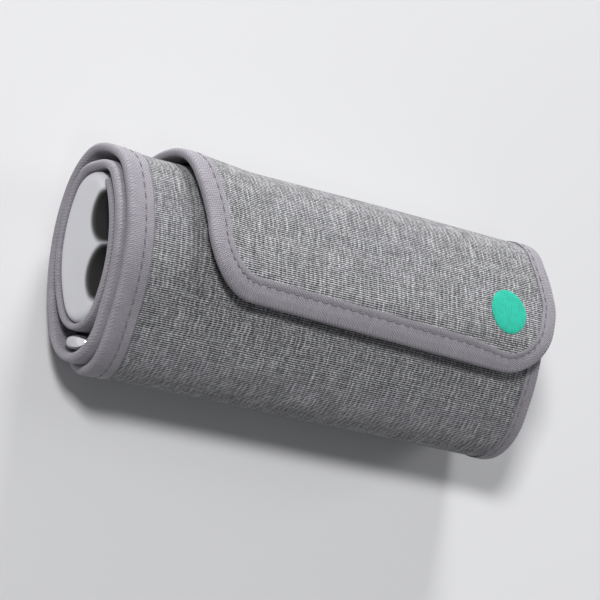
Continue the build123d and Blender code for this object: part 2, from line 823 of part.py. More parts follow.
with BuildPart() as tact_switch:
    half_switch = switch_size / 2
    switch_span = (-half_switch, half_switch)
    block((board_right, board_right + switch_height), switch_span, switch_span)
    rod(0, 0, stem_radius, board_right + switch_height, board_right + switch_height + switch_nub)
tact_switch.part.label = "tact_switch"
export_step(tact_switch.part, "parts/tact_switch.step")


# Start button and light ring, on the end of the pod

nub_end = board_right + switch_height + switch_nub
with BuildPart() as start_button:
    button_left = pod_right + button_proud - button_height
    rod(0, 0, button_radius, button_left, pod_right + button_proud)
    fillet(start_button.edges().group_by(Axis.X)[-1], radius=button_proud)
    rod(0, 0, stem_radius, nub_end + button_travel + play, button_left)
start_button.part.label = "start_button"
export_step(start_button.part, "parts/start_button.step")

with BuildPart() as status_light_ring:
    rod(0, 0, light_outer, pod_right - light_ring_depth, pod_right)
    rod(0, 0, button_radius + button_clearance, pod_right - light_ring_depth, pod_right, mode=Mode.SUBTRACT)
status_light_ring.part.label = "status_light_ring"
export_step(status_light_ring.part, "parts/status_light_ring.step")


# Battery cap, which slides off the end of the pod over the button's boss

seal_right = shell_right - seal_setback
seal_left = seal_right - seal_width
with BuildPart() as battery_cap:
    pod_block(0, shell_right, pod_right)
    fillet(battery_cap.edges().group_by(Axis.X)[-1], radius=shell_wall)
    pod_block(spigot_out, spigot_left, shell_right)
    pod_block(spigot_out - spigot_wall, spigot_left, shell_right, mode=Mode.SUBTRACT)
    with BuildPart(mode=Mode.PRIVATE) as seal_groove:
        pod_block(0, seal_left, seal_right)
        pod_block(spigot_out - seal_depth, seal_left, seal_right, mode=Mode.SUBTRACT)
    add(seal_groove.part, mode=Mode.SUBTRACT)
    for side in (-1, 1):
        rod(side * tube_y, 0, cell_nub_radius, spigot_left + bridge_thickness, shell_right)
    rod(0, 0, boss_outer + cap_hole_clearance, spigot_left, pod_right, mode=Mode.SUBTRACT)
battery_cap.part.label = "battery_cap"
export_step(battery_cap.part, "parts/battery_cap.step")

with BuildPart() as cap_seal:
    pod_block(-shell_wall - seal_gap, seal_left, seal_right)
    pod_block(spigot_out - seal_depth, seal_left, seal_right, mode=Mode.SUBTRACT)
cap_seal.part.label = "cap_seal"
export_step(cap_seal.part, "parts/cap_seal.step")

with BuildPart() as contact_bridge:
    bridge_hole = boss_outer + cap_hole_clearance + play
    bridge_right = spigot_left + bridge_thickness
    rod(0, 0, bridge_hole + shell_wall, spigot_left, bridge_right)
    for side in (-1, 1):
        rod(side * tube_y, 0, cell_nub_radius, spigot_left, bridge_right)
        arm = sorted((side * boss_outer, side * tube_y))
        block((spigot_left, bridge_right), arm, (-cell_nub_radius / 2, cell_nub_radius / 2))
    rod(0, 0, bridge_hole, spigot_left, bridge_right, mode=Mode.SUBTRACT)
contact_bridge.part.label = "contact_bridge"
export_step(contact_bridge.part, "parts/contact_bridge.step")


# Pump, valve and air path

motor_low = motor_inset - pod_half_width
with BuildPart() as pump_motor:
    cross_rod(pump_x, 0, motor_radius, motor_low, motor_high)
    bore_low = motor_high - 2 * crank_throw
    cross_rod(pump_x, 0, crank_shaft + play, bore_low, motor_high, mode=Mode.SUBTRACT)
pump_motor.part.label = "pump_motor"
export_step(pump_motor.part, "parts/pump_motor.step")

head_high = pod_half_width - head_inset
manifold_low = head_high + manifold_gap
cavity_high = motor_high + 5 * crank_throw
with BuildPart() as pump_head:
    head_x = (pump_x - head_half_length, pump_x + head_half_length)
    block(head_x, (motor_high, head_high), (-head_half_height, head_half_height))
    fillet(pump_head.edges().filter_by(Axis.Y), radius=shell_wall)
    cross_rod(pump_x, 0, crank_cavity, motor_high, cavity_high, mode=Mode.SUBTRACT)
    cross_rod(port_x, 0, port_bore + port_clearance, head_high, manifold_low)
pump_head.part.label = "pump_head"
export_step(pump_head.part, "parts/pump_head.step")

with BuildPart() as pump_crank:
    disc_low = motor_high + crank_throw / 2
    cross_rod(pump_x, 0, crank_shaft, bore_low + play, disc_low)
    cross_rod(pump_x, 0, 2 * crank_throw, disc_low, disc_low + crank_throw)
    cross_rod(pump_x + crank_throw, 0, crank_shaft, disc_low + crank_throw, cavity_high - crank_throw)
pump_crank.part.label = "pump_crank"
export_step(pump_crank.part, "parts/pump_crank.step")

with BuildPart() as pump_mount:
    mount_low = motor_low + mount_foot
    mount_high = motor_high - mount_wall
    mount_x = (pump_x - mount_half_length, pump_x + mount_half_length)
    cross_rod(pump_x, 0, motor_radius + mount_wall, mount_low, mount_high)
    block(mount_x, (mount_low, mount_high), (-motor_radius - 3 * mount_wall, -motor_radius))
    with BuildPart(mode=Mode.PRIVATE) as shell_room:
        pod_block(-shell_wall - chassis_clearance, joint_x, chassis_left)
    add(shell_room.part, mode=Mode.INTERSECT)
    cross_rod(pump_x, 0, motor_radius, mount_low, mount_high, mode=Mode.SUBTRACT)
pump_mount.part.label = "pump_mount"
export_step(pump_mount.part, "parts/pump_mount.step")

manifold_left = pump_x - manifold_before
manifold_right = pump_x + manifold_after
manifold_high = pod_half_width - manifold_inset
with BuildPart() as air_manifold:
    manifold_z = (-manifold_half_height, manifold_half_height)
    block((manifold_left, manifold_right), (manifold_low, manifold_high), manifold_z)
    port_end = pod_half_width + sleeve_gap + lining_thickness - pocket_clearance
    cross_rod(port_x, 0, port_radius, manifold_high, port_end)
    cross_rod(port_x, 0, port_bore, manifold_low + port_radius, port_end, mode=Mode.SUBTRACT)
air_manifold.part.label = "air_manifold"
export_step(air_manifold.part, "parts/air_manifold.step")

valve_left = manifold_left - valve_length
valve_y = pod_half_width - valve_inset
plunger_bore = plunger_radius + play
with BuildPart() as release_valve:
    rod(valve_y, 0, valve_radius, valve_left, manifold_left)
    rod(valve_y, 0, plunger_bore, valve_left + valve_wall, manifold_left, mode=Mode.SUBTRACT)
release_valve.part.label = "release_valve"
export_step(release_valve.part, "parts/release_valve.step")

with BuildPart() as valve_plunger:
    plunger_left = valve_left + valve_wall + plunger_stroke + play
    rod(valve_y, 0, plunger_radius, plunger_left, manifold_left - play)
valve_plunger.part.label = "valve_plunger"
export_step(valve_plunger.part, "parts/valve_plunger.step")

hose_turn_x = chassis_left - hose_setback
hose_y = manifold_low + hose_radius + play
with BuildPart() as sensor_hose:
    with BuildLine(Plane((0, pod_y, pod_z))) as hose_path:
        FilletPolyline(
            (manifold_right, hose_y),
            (hose_turn_x, hose_y),
            (hose_turn_x, sensor_y),
            (sensor_left, sensor_y),
            radius=hose_bend,
        )
    with BuildSketch(Plane(hose_path.line @ 0, z_dir=hose_path.line % 0)):
        Circle(hose_radius)
        Circle(hose_radius / 2, mode=Mode.SUBTRACT)
    sweep(path=hose_path.line)
sensor_hose.part.label = "sensor_hose"
export_step(sensor_hose.part, "parts/sensor_hose.step")
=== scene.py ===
"""Visual model of an arm-cuff blood pressure monitor, rolled up and closed by its flap.

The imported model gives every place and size. Cloth, tape and pads are laid out flat as functions of a place
across the cuff and a length along its band, and then wound into the roll, so that weave, ribs and stitches
follow the cloth as they do on the real one.
"""

import json
import logging
import math
from dataclasses import dataclass, field
from enum import Enum
from typing import Optional, Sequence, Union

import bpy
import numpy as np
from mathutils import Matrix, Vector

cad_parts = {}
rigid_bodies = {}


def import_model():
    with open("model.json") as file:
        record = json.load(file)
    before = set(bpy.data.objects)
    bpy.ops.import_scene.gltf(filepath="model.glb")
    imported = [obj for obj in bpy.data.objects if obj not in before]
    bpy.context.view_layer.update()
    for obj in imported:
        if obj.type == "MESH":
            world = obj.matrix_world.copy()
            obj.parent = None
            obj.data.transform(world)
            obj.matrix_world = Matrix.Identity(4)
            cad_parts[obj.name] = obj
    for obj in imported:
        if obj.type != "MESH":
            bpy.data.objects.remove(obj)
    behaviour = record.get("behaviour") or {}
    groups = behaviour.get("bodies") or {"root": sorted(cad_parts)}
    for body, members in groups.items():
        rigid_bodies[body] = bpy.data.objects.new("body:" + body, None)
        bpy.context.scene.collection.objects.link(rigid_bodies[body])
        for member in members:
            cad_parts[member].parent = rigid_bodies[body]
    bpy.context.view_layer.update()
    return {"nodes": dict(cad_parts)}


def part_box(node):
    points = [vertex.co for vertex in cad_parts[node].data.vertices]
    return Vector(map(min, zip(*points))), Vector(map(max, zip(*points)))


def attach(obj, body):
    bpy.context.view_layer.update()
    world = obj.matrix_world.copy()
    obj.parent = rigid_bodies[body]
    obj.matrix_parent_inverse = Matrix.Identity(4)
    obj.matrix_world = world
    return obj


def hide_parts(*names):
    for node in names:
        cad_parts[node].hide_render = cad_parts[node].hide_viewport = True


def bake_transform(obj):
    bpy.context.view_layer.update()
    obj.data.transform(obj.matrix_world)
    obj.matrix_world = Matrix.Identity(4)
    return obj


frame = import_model()
log = logging.getLogger("cuff")

Colour = tuple[float, float, float]
Scales = tuple[float, float]
Layer = tuple[Scales, float, float]
Number = Union[float, np.ndarray]
Skin = tuple[np.ndarray, np.ndarray]
Term = Union["Value", float]

MM = 0.001
FULL_TURN = 360.0
CLEAR = 0.02 * MM
FAR_IN = 40.0 * MM
CLOTH_MAP = "cloth"
ROLL_BODY = "rolled_cuff"
FLAP_BODY = "closing_flap"


# Small helpers for angles, shares and lines

def smooth(share: Number) -> np.ndarray:
    """Rise from 0 to 1 with level ends: 3s^2 - 2s^3 of the share held between 0 and 1."""
    held = np.clip(share, 0.0, 1.0)
    return held * held * (3 - 2 * held)


def bulge(turn: Number, centre: float) -> np.ndarray:
    """Cosine squared of the distance from the centre angle, and 0 beyond a quarter turn."""
    away = np.asarray(turn, float) - centre
    return np.where(np.abs(away) < FULL_TURN / 4, np.cos(np.radians(away)) ** 2, 0.0)


def spread(low: float, high: float, step: float) -> np.ndarray:
    """Evenly spaced values from low to high, about a step apart."""
    return np.linspace(low, high, max(2, int(round(abs(high - low) / step)) + 1))


def run(line: np.ndarray) -> np.ndarray:
    """Length along a line at each of its points."""
    return np.concatenate([[0.0], np.cumsum(np.linalg.norm(np.diff(line, axis=0), axis=1))])


def sampled(values: np.ndarray, far: np.ndarray, places: np.ndarray) -> np.ndarray:
    """Rows of values at some places, between the rows known at lengths along a line."""
    return np.stack([np.interp(places, far, column) for column in values.T], axis=-1)


def respaced(line: np.ndarray, step: float) -> np.ndarray:
    """The same line with its points evenly spaced along it, about a step apart."""
    return sampled(line, run(line), spread(0.0, run(line)[-1], step))


def counted(line: np.ndarray, count: int) -> np.ndarray:
    """The same line with a given number of evenly spaced points."""
    return sampled(line, run(line), np.linspace(0.0, run(line)[-1], count))


def grid_of(across: np.ndarray, along: np.ndarray) -> np.ndarray:
    """Grid of flat places: a row for each place along the band, and a column for each across it."""
    return np.stack(np.broadcast_arrays(across[None, :], along[:, None]), axis=-1)


def rings(radii: np.ndarray, count: int) -> np.ndarray:
    """Flat rings of points round the origin, one for each radius, whose last point is the first again."""
    angle = np.linspace(0, 2 * math.pi, count + 1)
    return radii[:, None, None] * np.stack([np.cos(angle), np.sin(angle)], axis=-1)[None]


def tint(colour: Colour, share: float) -> Colour:
    """A colour darkened or lightened by a share."""
    return tuple(min(1.0, share * part) for part in colour)


# Shader trees

class Value:
    """A number in a node tree, with operators that add Math nodes."""

    def __init__(self, tree: "Tree", socket: bpy.types.NodeSocket) -> None:
        """Wrap a socket that gives one number."""
        self.tree = tree
        self.socket = socket

    def math(self, operation: str, other: Term = 0.0) -> "Value":
        """Add a Math node of this value and another."""
        return self.tree.math(operation, self, other)

    def __add__(self, other: Term) -> "Value":
        """Sum."""
        return self.math("ADD", other)

    def __mul__(self, other: Term) -> "Value":
        """Product."""
        return self.math("MULTIPLY", other)

    def __sub__(self, other: Term) -> "Value":
        """Difference."""
        return self.math("SUBTRACT", other)

    def __rsub__(self, other: float) -> "Value":
        """Difference from a number."""
        return self.tree.math("SUBTRACT", other, self)

    def __truediv__(self, other: Term) -> "Value":
        """Quotient."""
        return self.math("DIVIDE", other)

    def __pow__(self, other: Term) -> "Value":
        """Power."""
        return self.math("POWER", other)

    def __abs__(self) -> "Value":
        """Size without sign."""
        return self.math("ABSOLUTE")

    __radd__ = __add__
    __rmul__ = __mul__

    def floor(self) -> "Value":
        """Whole part."""
        return self.math("FLOOR")

    def part(self) -> "Value":
        """Fraction above the whole part."""
        return self.math("FRACT")

    def root(self) -> "Value":
        """Square root."""
        return self.math("SQRT")

    def hump(self) -> "Value":
        """Sine over half a wave: 0 at 0, 1 at a half and 0 at 1."""
        return (self * math.pi).math("SINE")

    def wave(self) -> "Value":
        """Sine over a whole wave, moved into 0 to 1."""
        return (self * (2 * math.pi)).math("SINE") * 0.5 + 0.5

    def clamp(self) -> "Value":
        """Held between 0 and 1."""
        return self.math("MINIMUM", 1.0).math("MAXIMUM", 0.0)

    def between(self, low: float, high: float) -> "Value":
        """Smooth rise from 0 at low to 1 at high."""
        settings = {"interpolation_type": "SMOOTHSTEP"}
        return self.tree.value("ShaderNodeMapRange", settings, {0: self, 1: low, 2: high, 3: 0.0, 4: 1.0})


class Tree:
    """The node tree of a material or a world."""

    def __init__(self, owner: Union[bpy.types.Material, bpy.types.World]) -> None:
        """Take the owner's tree and empty it.

        Args:
            owner: The material or world.
        """
        owner.use_nodes = True
        self.nodes = owner.node_tree.nodes
        self.links = owner.node_tree.links
        self.nodes.clear()

    def node(self, kind: str, settings: Optional[dict] = None, inputs: Optional[dict] = None) -> bpy.types.Node:
        """Add a node.

        Args:
            kind: The node's type.
            settings: Its properties, set first.
            inputs: Values, numbers, colours or links for its sockets, by name or number.

        Returns:
            The node.
        """
        made = self.nodes.new(kind)
        for name, setting in (settings or {}).items():
            setattr(made, name, setting)
        for key, given in (inputs or {}).items():
            self.feed(made.inputs[key], given)
        return made

    def feed(self, socket: bpy.types.NodeSocket, given: object) -> None:
        """Give a node's input what it gets.

        Args:
            socket: The input.
            given: A value, a link, a colour or a number.
        """
        link = given.socket if isinstance(given, Value) else given
        if isinstance(link, bpy.types.NodeSocket):
            self.links.new(link, socket)
        else:
            socket.default_value = (*given, 1.0) if socket.type == "RGBA" else given

    def value(self, kind: str, settings: Optional[dict], inputs: dict) -> Value:
        """Add a node and wrap its first output."""
        return Value(self, self.node(kind, settings, inputs).outputs[0])

    def math(self, operation: str, first: object, second: object = 0.0) -> Value:
        """Add a Math node of one or two terms."""
        return self.value("ShaderNodeMath", {"operation": operation}, {0: first, 1: second})

    def axes(self, socket: bpy.types.NodeSocket) -> list[Value]:
        """The three numbers of a vector."""
        made = self.node("ShaderNodeSeparateXYZ", None, {0: socket})
        return [Value(self, output) for output in made.outputs]

    def cloth(self) -> list[Value]:
        """Place across and along the piece's own cloth map, in metres."""
        return self.axes(self.node("ShaderNodeUVMap", {"uv_map": CLOTH_MAP}).outputs[0])[:2]

    def place(self) -> bpy.types.NodeSocket:
        """Place in the object's own frame, in metres."""
        return self.node("ShaderNodeTexCoord").outputs["Object"]

    def vector(self, x: Term, y: Term, z: Term = 0.0) -> bpy.types.NodeSocket:
        """A vector from three values or numbers."""
        return self.node("ShaderNodeCombineXYZ", None, {0: x, 1: y, 2: z}).outputs[0]

    def noise(self, vector: bpy.types.NodeSocket, scale: float = 1.0, detail: float = 2.0) -> Value:
        """Cloudy noise between 0 and 1 over a vector."""
        return self.value("ShaderNodeTexNoise", None, {"Vector": vector, "Scale": scale, "Detail": detail})

    def grain(self, place: Sequence[Value], scales: Scales, detail: float = 2.0) -> Value:
        """Noise over a place on the cloth, with one scale across it and another along it."""
        return self.noise(self.vector(place[0] * scales[0], place[1] * scales[1]), detail=detail)

    def layer(self, place: Sequence[Value], layer: Layer) -> Value:
        """Noise about 0, from its scales across and along the cloth, its detail and its weight."""
        scales, detail, weight = layer
        return (self.grain(place, scales, detail) - 0.5) * weight

    def chance(self, x: Value, y: Value) -> Value:
        """A random number for each pair of whole numbers."""
        return self.value("ShaderNodeTexWhiteNoise", {"noise_dimensions": "2D"}, {0: self.vector(x, y)})

    def mix(self, factor: Value, first: object, second: object) -> bpy.types.NodeSocket:
        """A colour between two colours."""
        return self.node("ShaderNodeMix", {"data_type": "RGBA"}, {0: factor, 6: first, 7: second}).outputs[2]

    def bump(self, height: Value, depth: float) -> bpy.types.NodeSocket:
        """A normal from a height between 0 and 1 that stands for a depth in metres."""
        return self.node("ShaderNodeBump", None, {"Height": height, "Distance": depth}).outputs[0]

    def end(self, kind: str, shader: bpy.types.Node) -> None:
        """Link a shader to the output node."""
        self.node(kind, None, {0: shader.outputs[0]})


@dataclass(frozen=True)
class Finish:
    """A finish of the object. Each kind says what its shader gets."""

    name: str
    slot: str

    def paint(self, tree: Tree) -> dict:
        """Give the shader's inputs, made in the tree."""
        raise NotImplementedError

    def material(self) -> bpy.types.Material:
        """Make the material of this finish, once.

        Returns:
            The material.
        """
        made = bpy.data.materials.get(self.name)
        if made is None:
            made = bpy.data.materials.new(self.name)
            tree = Tree(made)
            tree.end("ShaderNodeOutputMaterial", tree.node("ShaderNodeBsdfPrincipled", None, self.paint(tree)))
        return made


@dataclass(frozen=True)
class Melange(Finish):
    """Woven cloth of mixed light and dark yarn: rows of dark dashes across it, light slubs round the roll."""

    dark: Colour = (0.028, 0.028, 0.031)
    light: Colour = (0.555, 0.555, 0.575)
    row: float = 0.60 * MM
    dash: float = 1.6 * MM
    relief: float = 0.42 * MM
    row_drift: Scales = (110.0, 110.0)
    row_sway: float = 0.6
    dash_drift: Scales = (330.0, 40.0)
    dash_sway: float = 1.2
    dash_shift: float = 0.6
    dash_sharpness: float = 0.45
    valley_sharpness: float = 0.8
    base: float = 0.60
    slub: Scales = (1900.0, 130.0)
    slub_low: float = -0.07
    slub_weight: float = 2.0
    streak: Layer = ((560.0, 30.0), 2.0, 0.15)
    weft: Layer = ((90.0, 1700.0), 1.0, 0.55)
    cloud: Layer = ((60.0, 60.0), 3.0, 0.12)
    gap_depth: Scales = (0.75, 0.65)
    darkest: float = 0.12
    crest: float = 1.34
    cut: float = 1.95

    def paint(self, tree: Tree) -> dict:
        """Dark dashes in the valleys between rows, cut by warp threads, under streaks and clouds of tone.

        Args:
            tree: The material's tree.

        Returns:
            The shader's inputs.
        """
        place = across, along = tree.cloth()
        rows = along / self.row + tree.grain(place, self.row_drift) * self.row_sway
        row = rows.floor()
        columns = across / self.dash + tree.grain(place, self.dash_drift) * self.dash_sway
        columns = columns + tree.chance(row, row * 0.37) * self.dash_shift
        thread = columns.part().hump() ** self.dash_sharpness
        valley = (1.0 - rows.part().hump()) ** self.valley_sharpness
        yarn = tree.chance(columns.floor(), row)
        slub = (tree.grain(place, self.slub) - 0.5).math("MAXIMUM", self.slub_low) * self.slub_weight
        tone = self.base + slub
        for layer in (self.streak, self.weft, self.cloud):
            tone = tone + tree.layer(place, layer)
        gap = valley * thread * (yarn * self.gap_depth[1] + self.gap_depth[0])
        lit = (tone.math("MAXIMUM", self.darkest) * (self.crest - gap * self.cut)).clamp()
        return {
            "Base Color": tree.mix(lit, self.dark, self.light),
            "Roughness": 0.92 - lit * 0.12,
            "Sheen Weight": 0.12,
            "Sheen Roughness": 0.5,
            "Specular IOR Level": 0.25,
            "Normal": tree.bump((1.0 - gap) * (0.7 + tone * 0.3), self.relief),
        }


@dataclass(frozen=True)
class Grosgrain(Finish):
    """Binding tape: fine ribs square to its edge, a sunk seam line, and a darker woven selvedge."""

    colour: Colour = (0.352, 0.333, 0.366)
    shade: Colour = (0.123, 0.116, 0.136)
    rib: float = 0.52 * MM
    seam: float = 5.4 * MM
    width: float = 8.3 * MM
    twill: Scales = (0.78 * MM, 1.05 * MM)
    relief: float = 0.14 * MM
    base: float = 0.58
    rib_weight: float = 0.45
    twill_weight: float = 0.42
    cloud: Layer = ((220.0, 120.0), 3.0, 0.4)
    yarn: Layer = ((300.0, 2400.0), 1.0, 0.6)
    groove: Scales = (0.15 * MM, 0.65 * MM)
    # painted shade in the seam's groove: how much it darkens the tape
    groove_shade_weight: float = 0.12
    selvedge: Scales = (0.55 * MM, 0.1 * MM)
    selvedge_weight: float = 0.5

    def paint(self, tree: Tree) -> dict:
        """Ribs over a fine twill, painted shade in the seam's groove, and darker at the tape's two selvedges.

        Args:
            tree: The material's tree.

        Returns:
            The shader's inputs.
        """
        place = across, along = tree.cloth()
        rib = (along / self.rib).wave()
        twill = (across / self.twill[0] + along / self.twill[1]).wave()
        side = abs(across)
        groove = 1.0 - abs(side - self.seam).between(*self.groove)
        selvedge = side.between(*(self.width - inset for inset in self.selvedge))
        # painted light and shade: ribs and twill lighter on their crests, darker in their hollows
        tone = self.base + (rib - 0.5) * self.rib_weight + (twill - 0.5) * self.twill_weight
        tone = tone + tree.layer(place, self.cloud) + tree.layer(place, self.yarn)
        # painted shade in the seam's groove; the selvedges are darker
        tone = (tone - groove * self.groove_shade_weight - selvedge * self.selvedge_weight).clamp()
        return {
            "Base Color": tree.mix(tone, self.shade, self.colour),
            "Roughness": 0.72 - rib * 0.1,
            "Sheen Weight": 0.25,
            "Sheen Roughness": 0.35,
            "Specular IOR Level": 0.35,
            "Normal": tree.bump(rib * 0.6 + twill * 0.4, self.relief),
        }


@dataclass(frozen=True)
class Knit(Finish):
    """Smooth knitted lining: columns of small loops."""

    colour: Colour = (0.105, 0.105, 0.115)
    loop: float = 0.7 * MM
    cloud: Layer = ((100.0, 100.0), 3.0, 0.4)

    def paint(self, tree: Tree) -> dict:
        """Columns of slanted loops, with painted highlights on their crowns and painted shade between them.

        Args:
            tree: The material's tree.

        Returns:
            The shader's inputs.
        """
        place = across, along = tree.cloth()
        column = across / self.loop
        slant = abs(column.part() - 0.5) * 0.9
        crown = column.part().hump() * (along / self.loop + slant).part().hump()
        # painted light and shade: lighter on the loops' crowns, darker between them
        tone = (0.35 + crown * 0.6 + tree.layer(place, self.cloud)).clamp()
        return {
            "Base Color": tree.mix(tone, tint(self.colour, 0.45), self.colour),
            "Roughness": 0.9 - crown * 0.1,
            "Sheen Weight": 0.2,
            "Normal": tree.bump(crown, 0.15 * MM),
        }


class PadKind(Enum):
    """The two halves of the closure."""

    HOOKS = "hooks"
    LOOPS = "loops"


@dataclass(frozen=True)
class Pile(Finish):
    """Hook tape with rows of stiff hooks, or the soft brushed loops that it grips."""

    kind: PadKind = PadKind.LOOPS
    colour: Colour = (0.12, 0.12, 0.13)
    pitch: Scales = (1.5 * MM, 1.3 * MM)
    tangle: Scales = (2600.0, 2600.0)
    cloud: Layer = ((120.0, 120.0), 3.0, 0.4)

    def paint(self, tree: Tree) -> dict:
        """Loops are tangled noise. Hooks are a staggered grid of small dots. Both get painted shade where low.

        Args:
            tree: The material's tree.

        Returns:
            The shader's inputs.
        """
        place = across, along = tree.cloth()
        if self.kind is PadKind.LOOPS:
            height = (tree.grain(place, self.tangle, 4.0) * 1.3 - 0.15).clamp()
        else:
            row = along / self.pitch[1]
            column = across / self.pitch[0] + row.floor() * 0.5
            height = (column.part().hump() * row.part().hump()).between(0.35, 0.85)
        # painted light and shade: lighter where the pile stands high, darker down in its hollows
        tone = (height * 0.8 + tree.layer(place, self.cloud) + 0.1).clamp()
        return {
            "Base Color": tree.mix(tone, tint(self.colour, 0.3), self.colour),
            "Roughness": 0.95 - height * 0.15,
            "Sheen Weight": 0.3,
            "Normal": tree.bump(height, 0.4 * MM),
        }


@dataclass(frozen=True)
class Thread(Finish):
    """Twisted sewing thread."""

    colour: Colour = (0.08, 0.078, 0.085)
    ply: Scales = (0.5 * MM, 0.35 * MM)

    def paint(self, tree: Tree) -> dict:
        """Slanted plies along the stitch, with a painted highlight on each ply's crest.

        Args:
            tree: The material's tree.

        Returns:
            The shader's inputs.
        """
        across, along = tree.cloth()
        ply = (along / self.ply[1] + across / self.ply[0]).wave()
        return {
            # painted highlight: lighter on each ply's crest
            "Base Color": tree.mix(ply, self.colour, tint(self.colour, 2.2)),
            "Roughness": 0.6 + ply * 0.15,
            "Sheen Weight": 0.2,
            "Normal": tree.bump(ply, 0.06 * MM),
        }


@dataclass(frozen=True)
class Moulded(Finish):
    """Moulded plastic or rubber with a fine skin."""

    colour: Colour = (0.8, 0.8, 0.82)
    roughness: float = 0.35
    grain: float = 0.012 * MM
    coat: float = 0.0
    grain_scale: float = 2500.0

    def paint(self, tree: Tree) -> dict:
        """A fine spark-eroded grain, with slow changes of tone and gloss.

        Args:
            tree: The material's tree.

        Returns:
            The shader's inputs.
        """
        place = tree.place()
        grain = tree.noise(place, self.grain_scale, 3.0)
        cloud = tree.noise(place, 60.0, 3.0)
        return {
            "Base Color": tree.mix(cloud.between(0.3, 0.7), tint(self.colour, 0.93), tint(self.colour, 1.04)),
            "Roughness": (cloud - 0.5) * 0.12 + (grain - 0.5) * 0.1 + self.roughness,
            "Coat Weight": self.coat,
            "Coat Roughness": 0.2,
            "Normal": tree.bump(grain, self.grain),
        }


@dataclass(frozen=True)
class PocketedCap(Finish):
    """White satin end cap with black painted shade in its two finger pockets."""

    # painted shade: a darker copy of the pod's satin white
    colour: Colour = (0.60, 0.60, 0.625)
    # painted shade: the black inside the finger pockets
    lining: Colour = (0.012, 0.012, 0.012)
    centres: tuple[tuple[float, float], ...] = ()
    radius: float = 7.6 * MM
    bare: float = 0.05 * MM
    # width of the painted shade's fade from white to black round each of the pockets
    shade_band: float = 2.1 * MM

    def paint(self, tree: Tree) -> dict:
        """Painted shade: white turns to black in a soft band round each of the pockets, by the distance from
        its axis.

        Args:
            tree: The material's tree.

        Returns:
            The shader's inputs.
        """
        place = tree.place()
        _, y, z = tree.axes(place)
        grain = tree.noise(place, 2600.0, 3.0)
        cloud = tree.noise(place, 45.0, 2.0)
        # painted shade: each of the pockets goes black, fading to white over a band round its rim
        dark = 0.0
        for middle_y, middle_z in self.centres:
            away = ((y - middle_y) ** 2.0 + (z - middle_z) ** 2.0).root()
            pocket_shade = 1.0 - away.between(self.radius + self.bare, self.radius + self.shade_band)
            dark = pocket_shade.math("MAXIMUM", dark)
        white = tree.mix(cloud.between(0.3, 0.7), tint(self.colour, 0.95), self.colour)
        return {
            "Base Color": tree.mix(dark, white, self.lining),
            "Roughness": (grain - 0.5) * 0.08 + dark * 0.3 + 0.5,
            "Normal": tree.bump(grain, 0.006 * MM),
        }


@dataclass(frozen=True)
class Metal(Finish):
    """Plated, drawn or polished metal."""

    colour: Colour = (0.8, 0.8, 0.82)
    roughness: float = 0.3
    lines: tuple[float, float, float] = (60.0, 60.0, 60.0)
    depth: float = 0.01 * MM

    def paint(self, tree: Tree) -> dict:
        """Fine drawing lines, smudges of roughness and a slight change of tone.

        Args:
            tree: The material's tree.

        Returns:
            The shader's inputs.
        """
        place = tree.place()
        drawn = tree.vector(*(axis * scale for axis, scale in zip(tree.axes(place), self.lines)))
        smudge = tree.noise(place, 130.0, 4.0)
        return {
            "Base Color": tree.mix(smudge.between(0.25, 0.75), tint(self.colour, 0.86), self.colour),
            "Metallic": 1.0,
            "Roughness": ((smudge - 0.5) * 0.5 + 1.0) * self.roughness,
            "Normal": tree.bump(tree.noise(drawn, 40.0, 3.0), self.depth),
        }


@dataclass(frozen=True)
class Board(Finish):
    """Solder mask over copper tracks."""

    mask: Colour = (0.012, 0.085, 0.045)
    track: Colour = (0.03, 0.17, 0.09)
    pad: Colour = (0.75, 0.62, 0.3)
    cell: Scales = (1.9 * MM, 1.6 * MM)

    def paint(self, tree: Tree) -> dict:
        """Tracks from a grid of cells, and a plated via in some of them.

        Args:
            tree: The material's tree.

        Returns:
            The shader's inputs.
        """
        x, _, z = tree.axes(tree.place())
        column, row = x / self.cell[0], z / self.cell[1]
        pick = tree.chance(column.floor(), row.floor())
        track = (1.0 - abs(row.part() - 0.5).between(0.06, 0.14)) * pick.between(0.35, 0.4)
        away = ((column.part() - 0.5) ** 2.0 + (row.part() - 0.5) ** 2.0).root()
        via = (1.0 - away.between(0.14, 0.2)) * pick.between(0.72, 0.76)
        return {
            "Base Color": tree.mix(via, tree.mix(track, self.mask, self.track), self.pad),
            "Metallic": via * 0.9,
            "Roughness": 0.38 - via * 0.1,
            "Normal": tree.bump((track + via).clamp(), 0.05 * MM),
        }


@dataclass(frozen=True)
class Jacket(Finish):
    """Plain printed jacket of a cell: a metallic band at the positive end."""

    colour: Colour = (0.05, 0.06, 0.08)
    band: Colour = (0.5, 0.34, 0.12)
    ends: tuple[float, ...] = ()
    band_length: float = 9.0 * MM

    def paint(self, tree: Tree) -> dict:
        """The band lies before each cell's positive end, and the rest is dark foil.

        Args:
            tree: The material's tree.

        Returns:
            The shader's inputs.
        """
        place = tree.place()
        x = tree.axes(place)[0]
        band = 0.0
        for end in self.ends:
            before = (x - (end - self.band_length)).between(0.0, 0.3 * MM)
            band = (before * (1.0 - (x - end).between(0.0, 0.2 * MM))).math("MAXIMUM", band)
        scuff = tree.noise(place, 400.0, 4.0)
        return {
            "Base Color": tree.mix(band, self.colour, self.band),
            "Metallic": band * 0.4 + 0.5,
            "Roughness": scuff * 0.2 + 0.22,
            "Normal": tree.bump(scuff, 0.01 * MM),
        }


